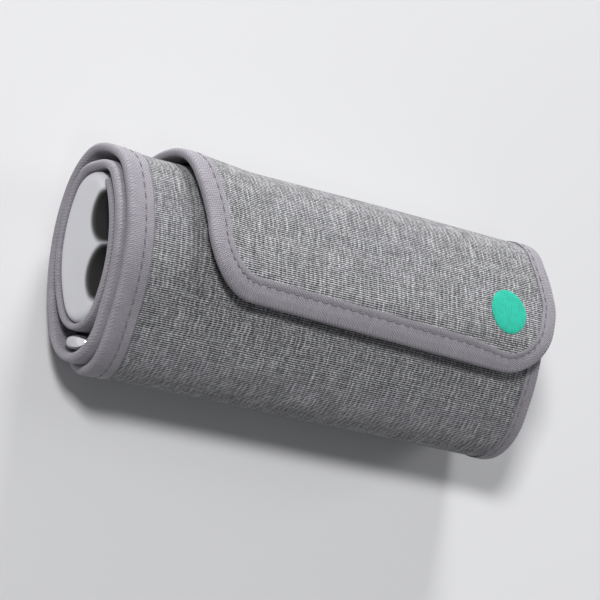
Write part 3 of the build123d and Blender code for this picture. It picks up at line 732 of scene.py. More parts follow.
@dataclass(frozen=True)
class Film(Finish):
    """Coated air-tight film with a fine fabric backing."""

    colour: Colour = (0.13, 0.14, 0.16)
    weave: float = 0.5 * MM

    def paint(self, tree: Tree) -> dict:
        """A faint backing weave under a smooth coat with slack creases, and painted shade in their hollows.

        Args:
            tree: The material's tree.

        Returns:
            The shader's inputs.
        """
        place = across, along = tree.cloth()
        weave = (across / self.weave).wave() * (along / self.weave).wave()
        crease = tree.grain(place, (60.0, 60.0), 4.0)
        return {
            # painted shade: darker in the hollows of the creases
            "Base Color": tree.mix(crease.between(0.35, 0.65), tint(self.colour, 0.7), self.colour),
            "Roughness": 0.5 - crease * 0.2,
            "Normal": tree.bump(weave * 0.15 + crease * 0.85, 0.2 * MM),
        }


@dataclass(frozen=True)
class Print(Finish):
    """Raised rubber print that lets the weave under it show."""

    colour: Colour = (0.0, 0.425, 0.297)
    weave: Scales = (1.05 * MM, 0.62 * MM)

    def paint(self, tree: Tree) -> dict:
        """An even colour, a little thinner over the rows of the weave.

        Args:
            tree: The material's tree.

        Returns:
            The shader's inputs.
        """
        place = across, along = tree.cloth()
        rows = (along / self.weave[1]).wave() * (across / self.weave[0]).wave()
        cloud = tree.grain(place, (500.0, 500.0), 3.0)
        full = (rows * 0.3 + cloud * 0.7).between(0.2, 0.5)
        return {
            "Base Color": tree.mix(full, tint(self.colour, 0.72), self.colour),
            "Roughness": 0.55 + cloud * 0.15,
            "Normal": tree.bump(rows * 0.6 + cloud * 0.4, 0.06 * MM),
        }


@dataclass(frozen=True)
class Backdrop(Finish):
    """Plain matt paper that the object lies on."""

    colour: Colour = (0.70, 0.70, 0.71)

    def paint(self, tree: Tree) -> dict:
        """One even colour, with a paper's faint tooth."""
        tooth = tree.noise(tree.place(), 900.0, 2.0)
        return {"Base Color": self.colour, "Roughness": tooth * 0.05 + 0.85, "Specular IOR Level": 0.2}


@dataclass(frozen=True)
class LightGuide(Finish):
    """Milky ring that spreads a light behind it, which is off."""

    colour: Colour = (0.62, 0.70, 0.74)

    def paint(self, tree: Tree) -> dict:
        """Cloudy milk with a satin skin.

        Args:
            tree: The material's tree.

        Returns:
            The shader's inputs.
        """
        cloud = tree.noise(tree.place(), 700.0, 4.0)
        return {
            "Base Color": tree.mix(cloud.between(0.3, 0.7), tint(self.colour, 0.85), self.colour),
            "Roughness": cloud * 0.15 + 0.25,
            "Coat Weight": 0.3,
            "Normal": tree.bump(cloud, 0.01 * MM),
        }


MELANGE = Melange("melange_cloth", "face_fabric")
TAPE = Grosgrain("grosgrain_tape", "binding_tape")
KNIT = Knit("knitted_lining", "lining_fabric")
THREAD = Thread("sewing_thread", "binding_tape")


# Meshes

@dataclass
class Surface:
    """A closed mesh made of grids of points, before it becomes an object."""

    points: np.ndarray
    faces: np.ndarray
    cloth: np.ndarray
    slots: np.ndarray

    def build(self, name: str, finishes: Sequence[Finish], sharp: float = 40.0) -> bpy.types.Object:
        """Make the object.

        Args:
            name: The piece's name.
            finishes: Its finishes, in the order of the faces' slots.
            sharp: Angle in degrees over which an edge stays sharp.

        Returns:
            The object, at the origin, with its faces pointing out.
        """
        corner = self.points[self.faces]
        fans = [
            np.cross(corner[:, second] - corner[:, 0], corner[:, third] - corner[:, 0])
            for second, third in ((1, 2), (2, 3))
        ]
        inside = sum(float((corner[:, 0] * fan).sum()) for fan in fans)
        faces = self.faces if inside > 0 else self.faces[:, ::-1]
        mesh = bpy.data.meshes.new(name)
        mesh.vertices.add(len(self.points))
        mesh.vertices.foreach_set("co", self.points.astype(np.float32).ravel())
        mesh.loops.add(faces.size)
        mesh.loops.foreach_set("vertex_index", faces.astype(np.int32).ravel())
        mesh.polygons.add(len(faces))
        mesh.polygons.foreach_set("loop_start", np.arange(0, faces.size, 4, dtype=np.int32))
        mesh.polygons.foreach_set("material_index", self.slots.astype(np.int32))
        mesh.update(calc_edges=True)
        mapping = mesh.uv_layers.new(name=CLOTH_MAP)
        mapping.data.foreach_set("uv", self.cloth[faces.ravel()].astype(np.float32).ravel())
        for finish in finishes:
            mesh.materials.append(finish.material())
        mesh.shade_smooth()
        mesh.set_sharp_from_angle(angle=math.radians(sharp))
        made = bpy.data.objects.new(name, mesh)
        bpy.context.scene.collection.objects.link(made)
        return made


def quads(rows: int, columns: int, first: int = 0, closed: bool = False) -> np.ndarray:
    """Corners of the quads of a grid whose points are numbered row by row.

    Args:
        rows: Number of rows.
        columns: Number of columns.
        first: Number of the grid's first point.
        closed: Whether the last column joins the first.

    Returns:
        Numbers of points, quads by 4.
    """
    row = np.arange(rows - 1)[:, None]
    column = np.arange(columns if closed else columns - 1)[None, :]
    after = (column + 1) % columns
    corners = [(row, column), (row, after), (row + 1, after), (row + 1, column)]
    return np.stack([down * columns + over for down, over in corners], axis=-1).reshape(-1, 4) + first


def slab(outside: np.ndarray, inside: np.ndarray, cloth: np.ndarray, two_sided: bool = False) -> Surface:
    """Close two matching grids of points into a slab: both grids, and a strip along each of their four edges.

    Args:
        outside: Points of the outer face, rows by columns by 3.
        inside: Points of the inner face.
        cloth: Flat place of each pair of points, in metres.
        two_sided: Whether the inner face takes the second finish.

    Returns:
        The closed surface.
    """
    rows, columns = outside.shape[:2]
    count = rows * columns
    number = np.arange(count).reshape(rows, columns)
    rim = np.concatenate([number[0, :], number[1:, -1], number[-1, -2::-1], number[-2:0:-1, 0]])
    after = np.roll(rim, -1)
    strip = np.stack([rim, rim + count, after + count, after], axis=-1)
    upper = quads(rows, columns)
    lower = quads(rows, columns, count)[:, ::-1]
    slots = np.zeros(len(upper) * 2 + len(strip), int)
    slots[len(upper):len(upper) * 2] = int(two_sided)
    points = np.concatenate([outside.reshape(-1, 3), inside.reshape(-1, 3)])
    flat = np.concatenate([cloth.reshape(-1, 2)] * 2)
    return Surface(points, np.concatenate([upper, lower, strip]), flat, slots)


def disc(outside: np.ndarray, inside: np.ndarray, cloth: np.ndarray) -> Surface:
    """Close two matching discs of rings of points along their rims, each with a pole at its middle.

    Args:
        outside: Points of the outer face, rings by points by 3, whose last point is the first again.
        inside: Points of the inner face.
        cloth: Flat place of each pair of points, in metres.

    Returns:
        The closed surface.
    """
    outside, inside, cloth = outside[:, :-1], inside[:, :-1], cloth[:, :-1]
    rows, columns = outside.shape[:2]
    count = rows * columns
    poles = [face[0].mean(axis=0)[None] for face in (outside, inside)]
    points = [outside.reshape(-1, 3), inside.reshape(-1, 3), *poles]
    flat = [cloth.reshape(-1, 2)] * 2 + [cloth[0].mean(axis=0)[None]] * 2
    upper = quads(rows, columns, closed=True)
    lower = quads(rows, columns, count, closed=True)[:, ::-1]
    rim = (rows - 1) * columns + np.arange(columns)
    after = np.roll(rim, -1)
    strip = np.stack([rim, after, after + count, rim + count], axis=-1)
    first = np.arange(0, columns, 2)
    third = (first + 2) % columns
    fan = np.stack([np.full_like(first, 2 * count), third, first + 1, first], axis=-1)
    under = np.stack([np.full_like(first, count + 1), first, first + 1, third], axis=-1) + count
    faces = np.concatenate([upper, lower, strip, fan, under])
    return Surface(np.concatenate(points), faces, np.concatenate(flat), np.zeros(len(faces), int))


def patch(top: np.ndarray, bottom: np.ndarray, left: np.ndarray, right: np.ndarray) -> np.ndarray:
    """Fill four boundary lines with a grid: the two ruled surfaces added, less the bilinear one of the corners.

    Args:
        top: Points from the left to the right corner, columns by 2.
        bottom: The same at the other end.
        left: Points from the top to the bottom corner, rows by 2.
        right: The same on the other side.

    Returns:
        Points, rows by columns by 2.
    """
    down = np.linspace(0, 1, len(left))[:, None, None]
    over = np.linspace(0, 1, len(top))[None, :, None]
    ruled = (1 - down) * top[None] + down * bottom[None] + (1 - over) * left[:, None] + over * right[:, None]
    corners = (1 - down) * ((1 - over) * top[0] + over * top[-1])
    return ruled - corners - down * ((1 - over) * bottom[0] + over * bottom[-1])


def rounded(corners: Sequence[tuple[float, float]], radius: float, step: float = 0.4 * MM) -> np.ndarray:
    """Line through corners with each inner corner turned into an arc.

    Args:
        corners: Points of the line.
        radius: The arcs' radius.
        step: Distance between points.

    Returns:
        Points along the line.
    """
    points = [np.array(corner, float) for corner in corners]
    line = [points[0]]
    for before, corner, after in zip(points, points[1:], points[2:]):
        inward = (corner - before) / np.linalg.norm(corner - before)
        outward = (after - corner) / np.linalg.norm(after - corner)
        angle = math.acos(float(np.clip(inward @ outward, -1, 1)))
        reach = radius * math.tan(angle / 2)
        middle = corner + (outward - inward) / np.linalg.norm(outward - inward) * radius / math.cos(angle / 2)
        first = corner - inward * reach - middle
        last = corner + outward * reach - middle
        share = np.linspace(0, 1, max(3, int(radius * angle / step)))[:, None]
        arc = (np.sin((1 - share) * angle) * first + np.sin(share * angle) * last) / math.sin(angle)
        line.extend(middle + arc)
    line.append(points[-1])
    return respaced(np.array(line), step)


# The roll

@dataclass
class Roll:
    """How the band lies in the roll: a spiral round the pod's four-arc oval, by turn angle.

    A turn angle of 0 faces up, 90 faces -Y, 180 down and 270 +Y. The band stands off the oval by a step a turn,
    with rounded rises where the ring and the slack are.
    """

    half_width: float = 21.8 * MM
    half_height: float = 12.4 * MM
    end_radius: float = 9.0 * MM
    band: float = 2.0 * MM
    lining: float = 0.6 * MM
    tape: float = 0.3 * MM
    gap: float = 0.75 * MM
    sleeve_gap: float = 0.4 * MM
    ring_rise: float = 5.3908 * MM
    ring_turn: float = 98.0
    slack: float = 1.55 * MM
    flap_slack: float = 0.3 * MM
    tightening: float = 0.6
    tight_x: float = 75.0 * MM
    steps: tuple[float, ...] = (270.0, 630.0, 990.0)
    step_span: float = 60.0
    sample: float = 0.25
    beyond: Scales = (10.0, 20.0)
    sleeve_start: float = -30.0
    sleeve_end: float = 240.0
    inner_end: float = 585.0
    outer_end: float = 900.0
    hinge: float = 1010.0
    flap_end: float = 1100.0
    pod_y: float = field(init=False)
    pod_z: float = field(init=False)
    flank: float = field(init=False)
    face_radius: float = field(init=False)
    join: float = field(init=False)
    turns: np.ndarray = field(init=False)
    lengths: np.ndarray = field(init=False)

    def __post_init__(self) -> None:
        """Find the pod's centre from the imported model, and measure the band's length turn by turn."""
        low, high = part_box("left_end_cap")
        self.pod_y = (low.y + high.y) / 2
        self.pod_z = (low.z + high.z) / 2
        self.flank = self.half_width - self.end_radius
        squares = self.flank**2 + self.half_height**2 - self.end_radius**2
        self.face_radius = squares / (2 * (self.half_height - self.end_radius))
        self.join = self.flank / (self.face_radius - self.end_radius)
        before, after = self.beyond
        self.turns = np.arange(self.sleeve_start - before, self.flap_end + after, self.sample)
        self.lengths = run(self.place(0.0, self.turns, self.band / 2)[:, 1:])

    def stand_off(self, turn: np.ndarray, x: Number) -> np.ndarray:
        """Distance of the band's inner face from the oval: a smooth step each turn, plus the rises.

        The slack at the far side closes up toward the end that was rolled tighter.

        Args:
            turn: Turn angles.
            x: Places across the cuff.

        Returns:
            The distance at each of them.
        """
        steps = [smooth((turn - start) / self.step_span) for start in self.steps]
        ring = bulge(turn, self.ring_turn + FULL_TURN) + bulge(turn, self.ring_turn + 2 * FULL_TURN)
        slack = bulge(turn, self.steps[1]) + bulge(turn, self.steps[2])
        loose = 1 - self.tightening * smooth(x / self.tight_x)
        rise = self.ring_rise * ring + self.slack * loose * slack + self.flap_slack * steps[-1]
        return self.sleeve_gap + (self.band + self.gap) * sum(steps) + rise

    def oval(self, turn: np.ndarray, out: Number) -> tuple[np.ndarray, np.ndarray]:
        """Point whose normal has the turn angle, on the end arc or the face arc that has it, moved out.

        Args:
            turn: Turn angles.
            out: How far the point lies outside the oval.

        Returns:
            Its Y and Z from the pod's centre.
        """
        normal_y = -np.sin(np.radians(turn))
        normal_z = np.cos(np.radians(turn))
        end = np.abs(normal_y) > self.join
        radius = np.where(end, self.end_radius, self.face_radius) + out
        y = radius * normal_y + np.where(end, np.sign(normal_y) * self.flank, 0.0)
        z = radius * normal_z - np.where(end, 0.0, np.sign(normal_z) * (self.face_radius - self.half_height))
        return y, z

    def place(self, x: Number, turn: Number, depth: Number) -> np.ndarray:
        """Point in the roll, held above the ground that it lies on.

        Args:
            x: Place across the cuff.
            turn: Turn angle.
            depth: Distance out from the band's inner face.

        Returns:
            The points.
        """
        turn = np.asarray(turn, float)
        y, z = self.oval(turn, self.stand_off(turn, np.asarray(x, float)) + depth)
        return np.stack(np.broadcast_arrays(x, y + self.pod_y, np.maximum(z + self.pod_z, 0.0)), axis=-1)

    def turn_at(self, length: Number) -> np.ndarray:
        """Turn angle at a length along the band."""
        return np.interp(length, self.lengths, self.turns)

    def length_at(self, turn: Number) -> np.ndarray:
        """Length along the band at a turn angle."""
        return np.interp(turn, self.turns, self.lengths)

    def span(self, first: float, last: float, step: float) -> np.ndarray:
        """Lengths along the band between two turn angles, about a step apart."""
        return spread(float(self.length_at(first)), float(self.length_at(last)), step)

    def wind(self, flat: np.ndarray, depth: Number) -> np.ndarray:
        """Put flat places (x, length) into the roll at a depth."""
        return self.place(flat[..., 0], self.turn_at(flat[..., 1]), depth)

    def length_where(self, axis: int, value: Number, first: float, last: float) -> np.ndarray:
        """Length along the band, between two turns, where its middle has a value of Y or Z.

        Args:
            axis: 1 for Y, 2 for Z.
            value: The value, which changes one way between the turns.
            first: Turn angle to look from.
            last: Turn angle to look to.

        Returns:
            The length.
        """
        turns = np.linspace(first, last, 400)
        found = self.place(0.0, turns, self.band / 2)[:, axis]
        order = np.argsort(found)
        return np.interp(value, found[order], self.length_at(turns)[order])


def edge_frame(line: np.ndarray) -> np.ndarray:
    """Inward normals of an edge line that runs with the cloth on its -X turned side."""
    tangent = np.gradient(line, axis=0)
    return np.stack([tangent[:, 1], -tangent[:, 0]], axis=-1) / np.linalg.norm(tangent, axis=1)[:, None]


@dataclass
class Piece:
    """Ways of making the cuff's pieces from flat shapes: cloth, tape and stitches, with their common sizes."""

    roll: Roll
    seam: float = 5.4 * MM
    seam_band: Scales = (4.8 * MM, 6.0 * MM)
    tape_width: float = 8.3 * MM
    crown: float = 0.10 * MM
    crown_end: float = 4.4 * MM
    side_crown: float = 0.05 * MM
    side_start: float = 5.9 * MM
    groove: float = 0.17 * MM
    groove_width: float = 0.32 * MM
    under_tape: float = 0.6 * MM
    profile_counts: tuple[int, int, int, int] = (7, 9, 7, 13)
    stitch_pitch: float = 3.3 * MM
    stitch_half: float = 1.2 * MM
    stitch_slant: float = 0.10 * MM
    stitch_sink: float = 0.22 * MM
    stitch_tip: float = 0.05
    stitch_rows: int = 7
    stitch_sides: int = 6
    thread: float = 0.23 * MM
    thread_sink: float = 0.09 * MM
    pad: float = 0.35 * MM
    ripple: float = 0.05 * MM
    ripple_waves: Scales = (1.15 * MM, 7.0 * MM)
    ripple_swing: float = 1.3
    ripple_reach: float = 5.0 * MM
    ease: float = 0.06 * MM
    ease_waves: tuple[float, float, float] = (19.0 * MM, 23.0 * MM, 41.0 * MM)
    ease_start: float = 0.7

    def rise(self, flat: np.ndarray) -> np.ndarray:
        """How far a flat place is lifted off the roll."""
        return np.zeros(flat.shape[:-1])

    def pucker(self, flat: np.ndarray, edge: Number) -> np.ndarray:
        """Small waves of the cloth beside its tape, which die out over a few millimetres, and a slow slackness.

        Args:
            flat: Flat places.
            edge: Their distance from the tape's outer edge.

        Returns:
            How far the cloth stands out.
        """
        across, along = flat[..., 0], flat[..., 1]
        near = np.exp(-np.maximum(edge - self.tape_width, 0.0) / self.ripple_reach)
        waves = np.sin(along / self.ripple_waves[0] + self.ripple_swing * np.sin(along / self.ripple_waves[1]))
        wide, long, skew = self.ease_waves
        slow = np.sin(across / wide + self.ease_start) * np.sin(along / long + across / skew)
        return self.ripple * near * waves + self.ease * slow

    def sheet(
        self, name: str, grid: np.ndarray, outer: Number, inner: Number, *finishes: Finish
    ) -> bpy.types.Object:
        """Cloth, film or pile between two depths.

        Args:
            name: The piece's name.
            grid: Flat places, rows by columns by 2.
            outer: Depth of its outer face.
            inner: Depth of its inner face.
            finishes: The outer face's finish, and the inner one's if it has another.

        Returns:
            The piece.
        """
        faces = [self.roll.wind(grid, depth) for depth in (outer, inner)]
        return slab(*faces, grid, len(finishes) > 1).build(name, finishes)

    def tape_profile(self, thick: float) -> tuple[Skin, Skin, np.ndarray]:
        """Section of the folded tape, from its outer selvedge round the fold to its inner one.

        Args:
            thick: Thickness of the cloth that it is folded round.

        Returns:
            Distance in from the edge and depth of the outer skin, the same of the inner skin, and the signed
            distance across the tape.
        """
        half = thick / 2
        fold = half + self.roll.tape
        near, far = self.seam_band
        starts, ends = (self.tape_width, far, near, 0.0), (far, near, fold, math.pi)
        stretches = zip(starts, ends, self.profile_counts)
        outer, seam, inner, angle = (np.linspace(*stretch) for stretch in stretches)
        top = np.concatenate([outer[:-1], seam, inner[1:-1]])
        crown = self.crown * np.sin(np.clip((top - fold) / (self.crown_end - fold), 0, 1) * math.pi) ** 2
        side = np.clip((top - self.side_start) / (self.tape_width - self.side_start), 0, 1)
        groove = self.groove * np.exp(-(((top - self.seam) / self.groove_width) ** 2))
        relief = crown + self.side_crown * np.sin(side * math.pi) - groove
        skins = []
        for radius, rise in ((fold, relief), (half + CLEAR, 0.0)):
            reach = np.concatenate([top, fold - radius * np.sin(angle), top[::-1]])
            flat = np.full(len(top), radius)
            skins.append((reach, half + np.concatenate([flat + rise, radius * np.cos(angle), -flat])))
        return skins[0], skins[1], np.concatenate([top, fold * np.cos(angle), -top[::-1]])

    def tape(self, name: str, line: np.ndarray, thick: float, share: Number = 1.0) -> bpy.types.Object:
        """Binding tape folded round an edge: its section carried along the edge line.

        Args:
            name: The piece's name.
            line: Flat points of the edge.
            thick: Thickness of the cloth.
            share: How much of its width the tape shows past its fold, at each point of the line.

        Returns:
            The piece.
        """
        *skins, across = self.tape_profile(thick)
        inward = edge_frame(line)
        less = np.broadcast_to(share, len(line))[:, None] - 1
        fold = thick / 2 + self.roll.tape
        grids = []
        for reach, depth in skins:
            flat = line[:, None] + inward[:, None] * (reach + less * np.maximum(reach - fold, 0.0))[..., None]
            grids.append(self.roll.wind(flat, depth + self.rise(flat)))
        return slab(*grids, grid_of(across, run(line))).build(name, [TAPE], sharp=60.0)

    def tape_size(self, line: np.ndarray, thick: float, share: Number) -> tuple[float, float]:
        """Width and length of the flat tape: what shows on both sides and what goes round the fold."""
        fold = thick / 2 + self.roll.tape
        return 2 * (self.tape_width - fold) * float(np.mean(share)) + math.pi * fold, float(run(line)[-1])

    def stitches(
        self, name: str, lines: Sequence[np.ndarray], thick: float, shares: Sequence[Number],
        sides: Sequence[int] = (1,),
    ) -> bpy.types.Object:
        """Rows of running stitches along the seam of edge lines.

        Each stitch is a capsule: circles across it whose radius is the thread's times the fourth-power oval of
        the place along it, sunk at its ends.

        Args:
            name: The piece's name.
            lines: Flat points of each edge.
            thick: Thickness of the cloth.
            shares: How much of its width the tape of each edge shows past its fold.
            sides: 1 for the outer face, -1 for the inner face.

        Returns:
            The piece.
        """
        half = thick / 2
        fold = half + self.roll.tape
        along = np.linspace(-1, 1, self.stitch_rows)
        ring = np.linspace(0, 2 * math.pi, self.stitch_sides + 1)[:-1]
        count = len(along) * len(ring)
        width = (self.thread * np.clip(1 - along**4, self.stitch_tip, 1) ** 0.5)[:, None]
        top = fold - self.thread_sink - self.stitch_sink * along[:, None] ** 4
        points, cloth = [], []
        for line, share in zip(lines, shares):
            far = run(line)
            middles = np.arange(self.stitch_pitch, far[-1] - self.stitch_pitch / 2, self.stitch_pitch)
            places = middles[:, None] + self.stitch_half * along
            shown = np.interp(places, far, np.broadcast_to(share, len(line)))[..., None]
            seam = fold + (self.seam - fold) * shown
            reach = seam + self.stitch_slant * along[:, None] + width * np.cos(ring)
            turned = sampled(edge_frame(line), far, places)
            flat = sampled(line, far, places)[:, :, None] + turned[:, :, None] * reach[..., None]
            local = np.stack(np.broadcast_arrays(width * ring, places[..., None]), axis=-1)
            for side in sides:
                depth = half + side * (top + width * np.sin(ring)) + self.rise(flat)
                points.append(self.roll.wind(flat, depth).reshape(-1, 3))
                cloth.append(local.reshape(-1, 2))
        points, cloth = np.concatenate(points), np.concatenate(cloth)
        cap = np.array([[0, 1, 2, 3], [0, 3, 4, 5]])  # two quads close a six-sided end
        one = np.concatenate([quads(len(along), len(ring), closed=True), cap[:, ::-1], cap + count - len(ring)])
        faces = (one[None] + np.arange(0, len(points), count)[:, None, None]).reshape(-1, 4)
        return Surface(points, faces, cloth, np.zeros(len(faces), int)).build(name, [THREAD], sharp=80.0)


def keep(piece: bpy.types.Object, body: str, nodes: Sequence[str] = ()) -> None:
    """Let a piece ride on a body, in place of CAD nodes.

    Args:
        piece: The piece.
        body: The body that it moves with.
        nodes: The nodes that it stands in for.
    """
    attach(piece, body)
    if nodes:
        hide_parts(*nodes)


@dataclass
class Turn:
    """One stretch of the band: where it starts and ends, its lining's node, and how deep its face goes."""

    name: str
    start: float
    end: float
    lining: Optional[str]
    binding: str
    face_low: float
    thick: float
    right_share: float = 1.0


@dataclass
class Cuff(Piece):
    """The band's wound turns: the sleeve round the pod, and the inner and outer turns round that."""

    width: float = 152.0 * MM
    row_step: float = 1.4 * MM
    column_step: float = 2.0 * MM
    edge_step: float = 0.8 * MM
    telescope: float = 2.0 * MM
    slide_turns: Scales = (520.0, 680.0)
    tuck: float = 5.0 * MM
    tuck_turns: Scales = (755.0, 870.0)
    draw: float = 1.0 * MM
    flare: float = 1.5 * MM
    flare_turn: float = 626.0
    flare_span: float = 28.0
    flare_width: float = 15.0 * MM
    sleeve_thick: float = 1.2 * MM
    curl_depth: float = 1.15 * MM
    bladder_depth: float = 1.45 * MM
    right_share: float = 0.55
    bladder: Scales = (262.0, 560.0)
    bladder_margin: float = 16.0 * MM
    bladder_middle: float = 1.03 * MM
    bladder_half: float = 0.36 * MM
    bladder_seal: float = 6.0 * MM
    bladder_rim: float = 0.25
    loop_turns: Scales = (650.0, 790.0)
    loop_gap: float = 0.06 * MM
    loop_step: float = 1.2 * MM

    def edges(self, turn: Number) -> tuple[np.ndarray, np.ndarray]:
        """Left and right edge of the band: the roll telescopes, and its left edge tucks in under the roll.

        Args:
            turn: Turn angles.

        Returns:
            Their places across the cuff.
        """
        slid, tucked = (
            smooth((np.asarray(turn, float) - first) / (last - first))
            for first, last in (self.slide_turns, self.tuck_turns)
        )
        left = -(self.width + self.telescope) / 2
        return left + self.telescope * slid + self.tuck * tucked, left + self.width - self.draw * slid

    def rise(self, flat: np.ndarray) -> np.ndarray:
        """Flare of the outer turn's left edge off the roll where it comes over the far side.

        Args:
            flat: Flat places.

        Returns:
            Their lift.
        """
        turn = self.roll.turn_at(flat[..., 1])
        near = np.exp(-(((turn - self.flare_turn) / self.flare_span) ** 2))
        return self.flare * near * (1 - smooth((flat[..., 0] - self.edges(turn)[0]) / self.flare_width))

    def edge_line(self, turn: Turn, right: bool) -> np.ndarray:
        """Flat line of a stretch's edge, run so that the cloth is on its inner side.

        Args:
            turn: The stretch.
            right: Whether it is the right edge.

        Returns:
            Its points.
        """
        lengths = self.roll.span(turn.start, turn.end, self.edge_step)
        line = np.stack([self.edges(self.roll.turn_at(lengths))[int(right)], lengths], axis=-1)
        return line[::-1] if right else line

    def flat_grid(self, inset: float, turns: Scales, step: float) -> np.ndarray:
        """Grid of flat places between the edges.

        Args:
            inset: How far it is moved in from them.
            turns: Turn angles of its two ends.
            step: Distance between rows.

        Returns:
            The grid, rows by columns by 2.
        """
        along = self.roll.span(*turns, step)
        left, right = self.edges(self.roll.turn_at(along))
        share = np.linspace(0, 1, int(self.width / self.column_step))[None, :]
        across = (left + inset)[:, None] * (1 - share) + (right - inset)[:, None] * share
        return np.stack([across, np.broadcast_to(along[:, None], across.shape)], axis=-1)

    def build_turn(self, turn: Turn) -> None:
        """Face, lining, tapes and stitches of one stretch of the band.

        Args:
            turn: The stretch.
        """
        grid = self.flat_grid(self.under_tape, (turn.start, turn.end), self.row_step)
        lift = self.rise(grid)
        edge = np.minimum(grid[..., 0] - grid[:, :1, 0], grid[:, -1:, 0] - grid[..., 0])
        waves = self.pucker(grid, edge) if turn.face_low > 0 else 0.0
        face_node = f"{turn.name}_face" if turn.lining else turn.name
        layers = [(f"{turn.name}_cloth", turn.face_low, turn.thick + waves, (MELANGE, KNIT), face_node)]
        if turn.lining:
            layers.append((f"{turn.name}_knit", 0.0, self.roll.lining - CLEAR, (KNIT,), turn.lining))
        for name, low, high, finishes, node in layers:
            piece = self.sheet(name, grid, high + lift, low + lift, *finishes)
            keep(piece, ROLL_BODY, [node])
        lines = self.edge_line(turn, False), self.edge_line(turn, True)
        shares = 1.0, turn.right_share
        for side, line, share in zip(("left", "right"), lines, shares):
            tape = self.tape(f"{turn.name}_tape_{side}", line, turn.thick, share)
            keep(tape, ROLL_BODY, [turn.binding])
            size = self.tape_size(line, turn.thick, share)
        keep(self.stitches(f"{turn.name}_stitches", lines, turn.thick, shares), ROLL_BODY)

    def build_bladder(self) -> None:
        """The flat air bladder inside the inner turn, sealed round its rim."""
        grid = self.flat_grid(self.bladder_margin, self.bladder, self.column_step)
        across, along = grid[..., 0], grid[..., 1]
        rim = np.minimum(across - across[:, :1], across[:, -1:] - across)
        rim = np.minimum(rim, np.minimum(along - along[0, 0], along[-1, 0] - along))
        fat = self.bladder_rim + (1 - self.bladder_rim) * smooth(rim / self.bladder_seal)
        high, low = (self.bladder_middle + side * self.bladder_half * fat for side in (1, -1))
        film = Film("coated_film", "bladder_film")
        piece = self.sheet("bladder_film", grid, high, low, film)
        keep(piece, ROLL_BODY, ["air_bladder"])

    def build_loop_pad(self) -> None:
        """The brushed pad on the outer turn that the flap's hooks grip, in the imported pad's place."""
        corner, far_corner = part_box("loop_pad")
        across = spread(corner.x, far_corner.x, self.column_step)
        ends = self.roll.length_where(1, np.array([far_corner.y, corner.y]), *self.loop_turns)
        grid = grid_of(across, spread(float(ends[0]), float(ends[1]), self.loop_step))
        low = self.roll.band + self.loop_gap
        pile = Pile("loop_pile", "hook_and_loop", PadKind.LOOPS)
        piece = self.sheet("loop_pile_pad", grid, low + self.pad, low, pile)
        keep(piece, ROLL_BODY, ["loop_pad"])

    def build(self) -> None:
        """All three stretches, with what lies inside and on them."""
        roll = self.roll
        sleeve = Turn(
            "pod_sleeve", roll.sleeve_start, roll.sleeve_end, None, "sleeve_binding", 0.0, self.sleeve_thick)
        inner = Turn(
            "inner_turn", roll.sleeve_end, roll.inner_end, "inner_turn_lining", "inner_turn_binding",
            self.bladder_depth, roll.band)
        outer = Turn(
            "outer_turn", roll.inner_end, roll.outer_end, "outer_turn_lining", "outer_turn_binding",
            self.curl_depth, roll.band, self.right_share)
        for turn in (sleeve, inner, outer):
            self.build_turn(turn)
        self.build_bladder()
        self.build_loop_pad()


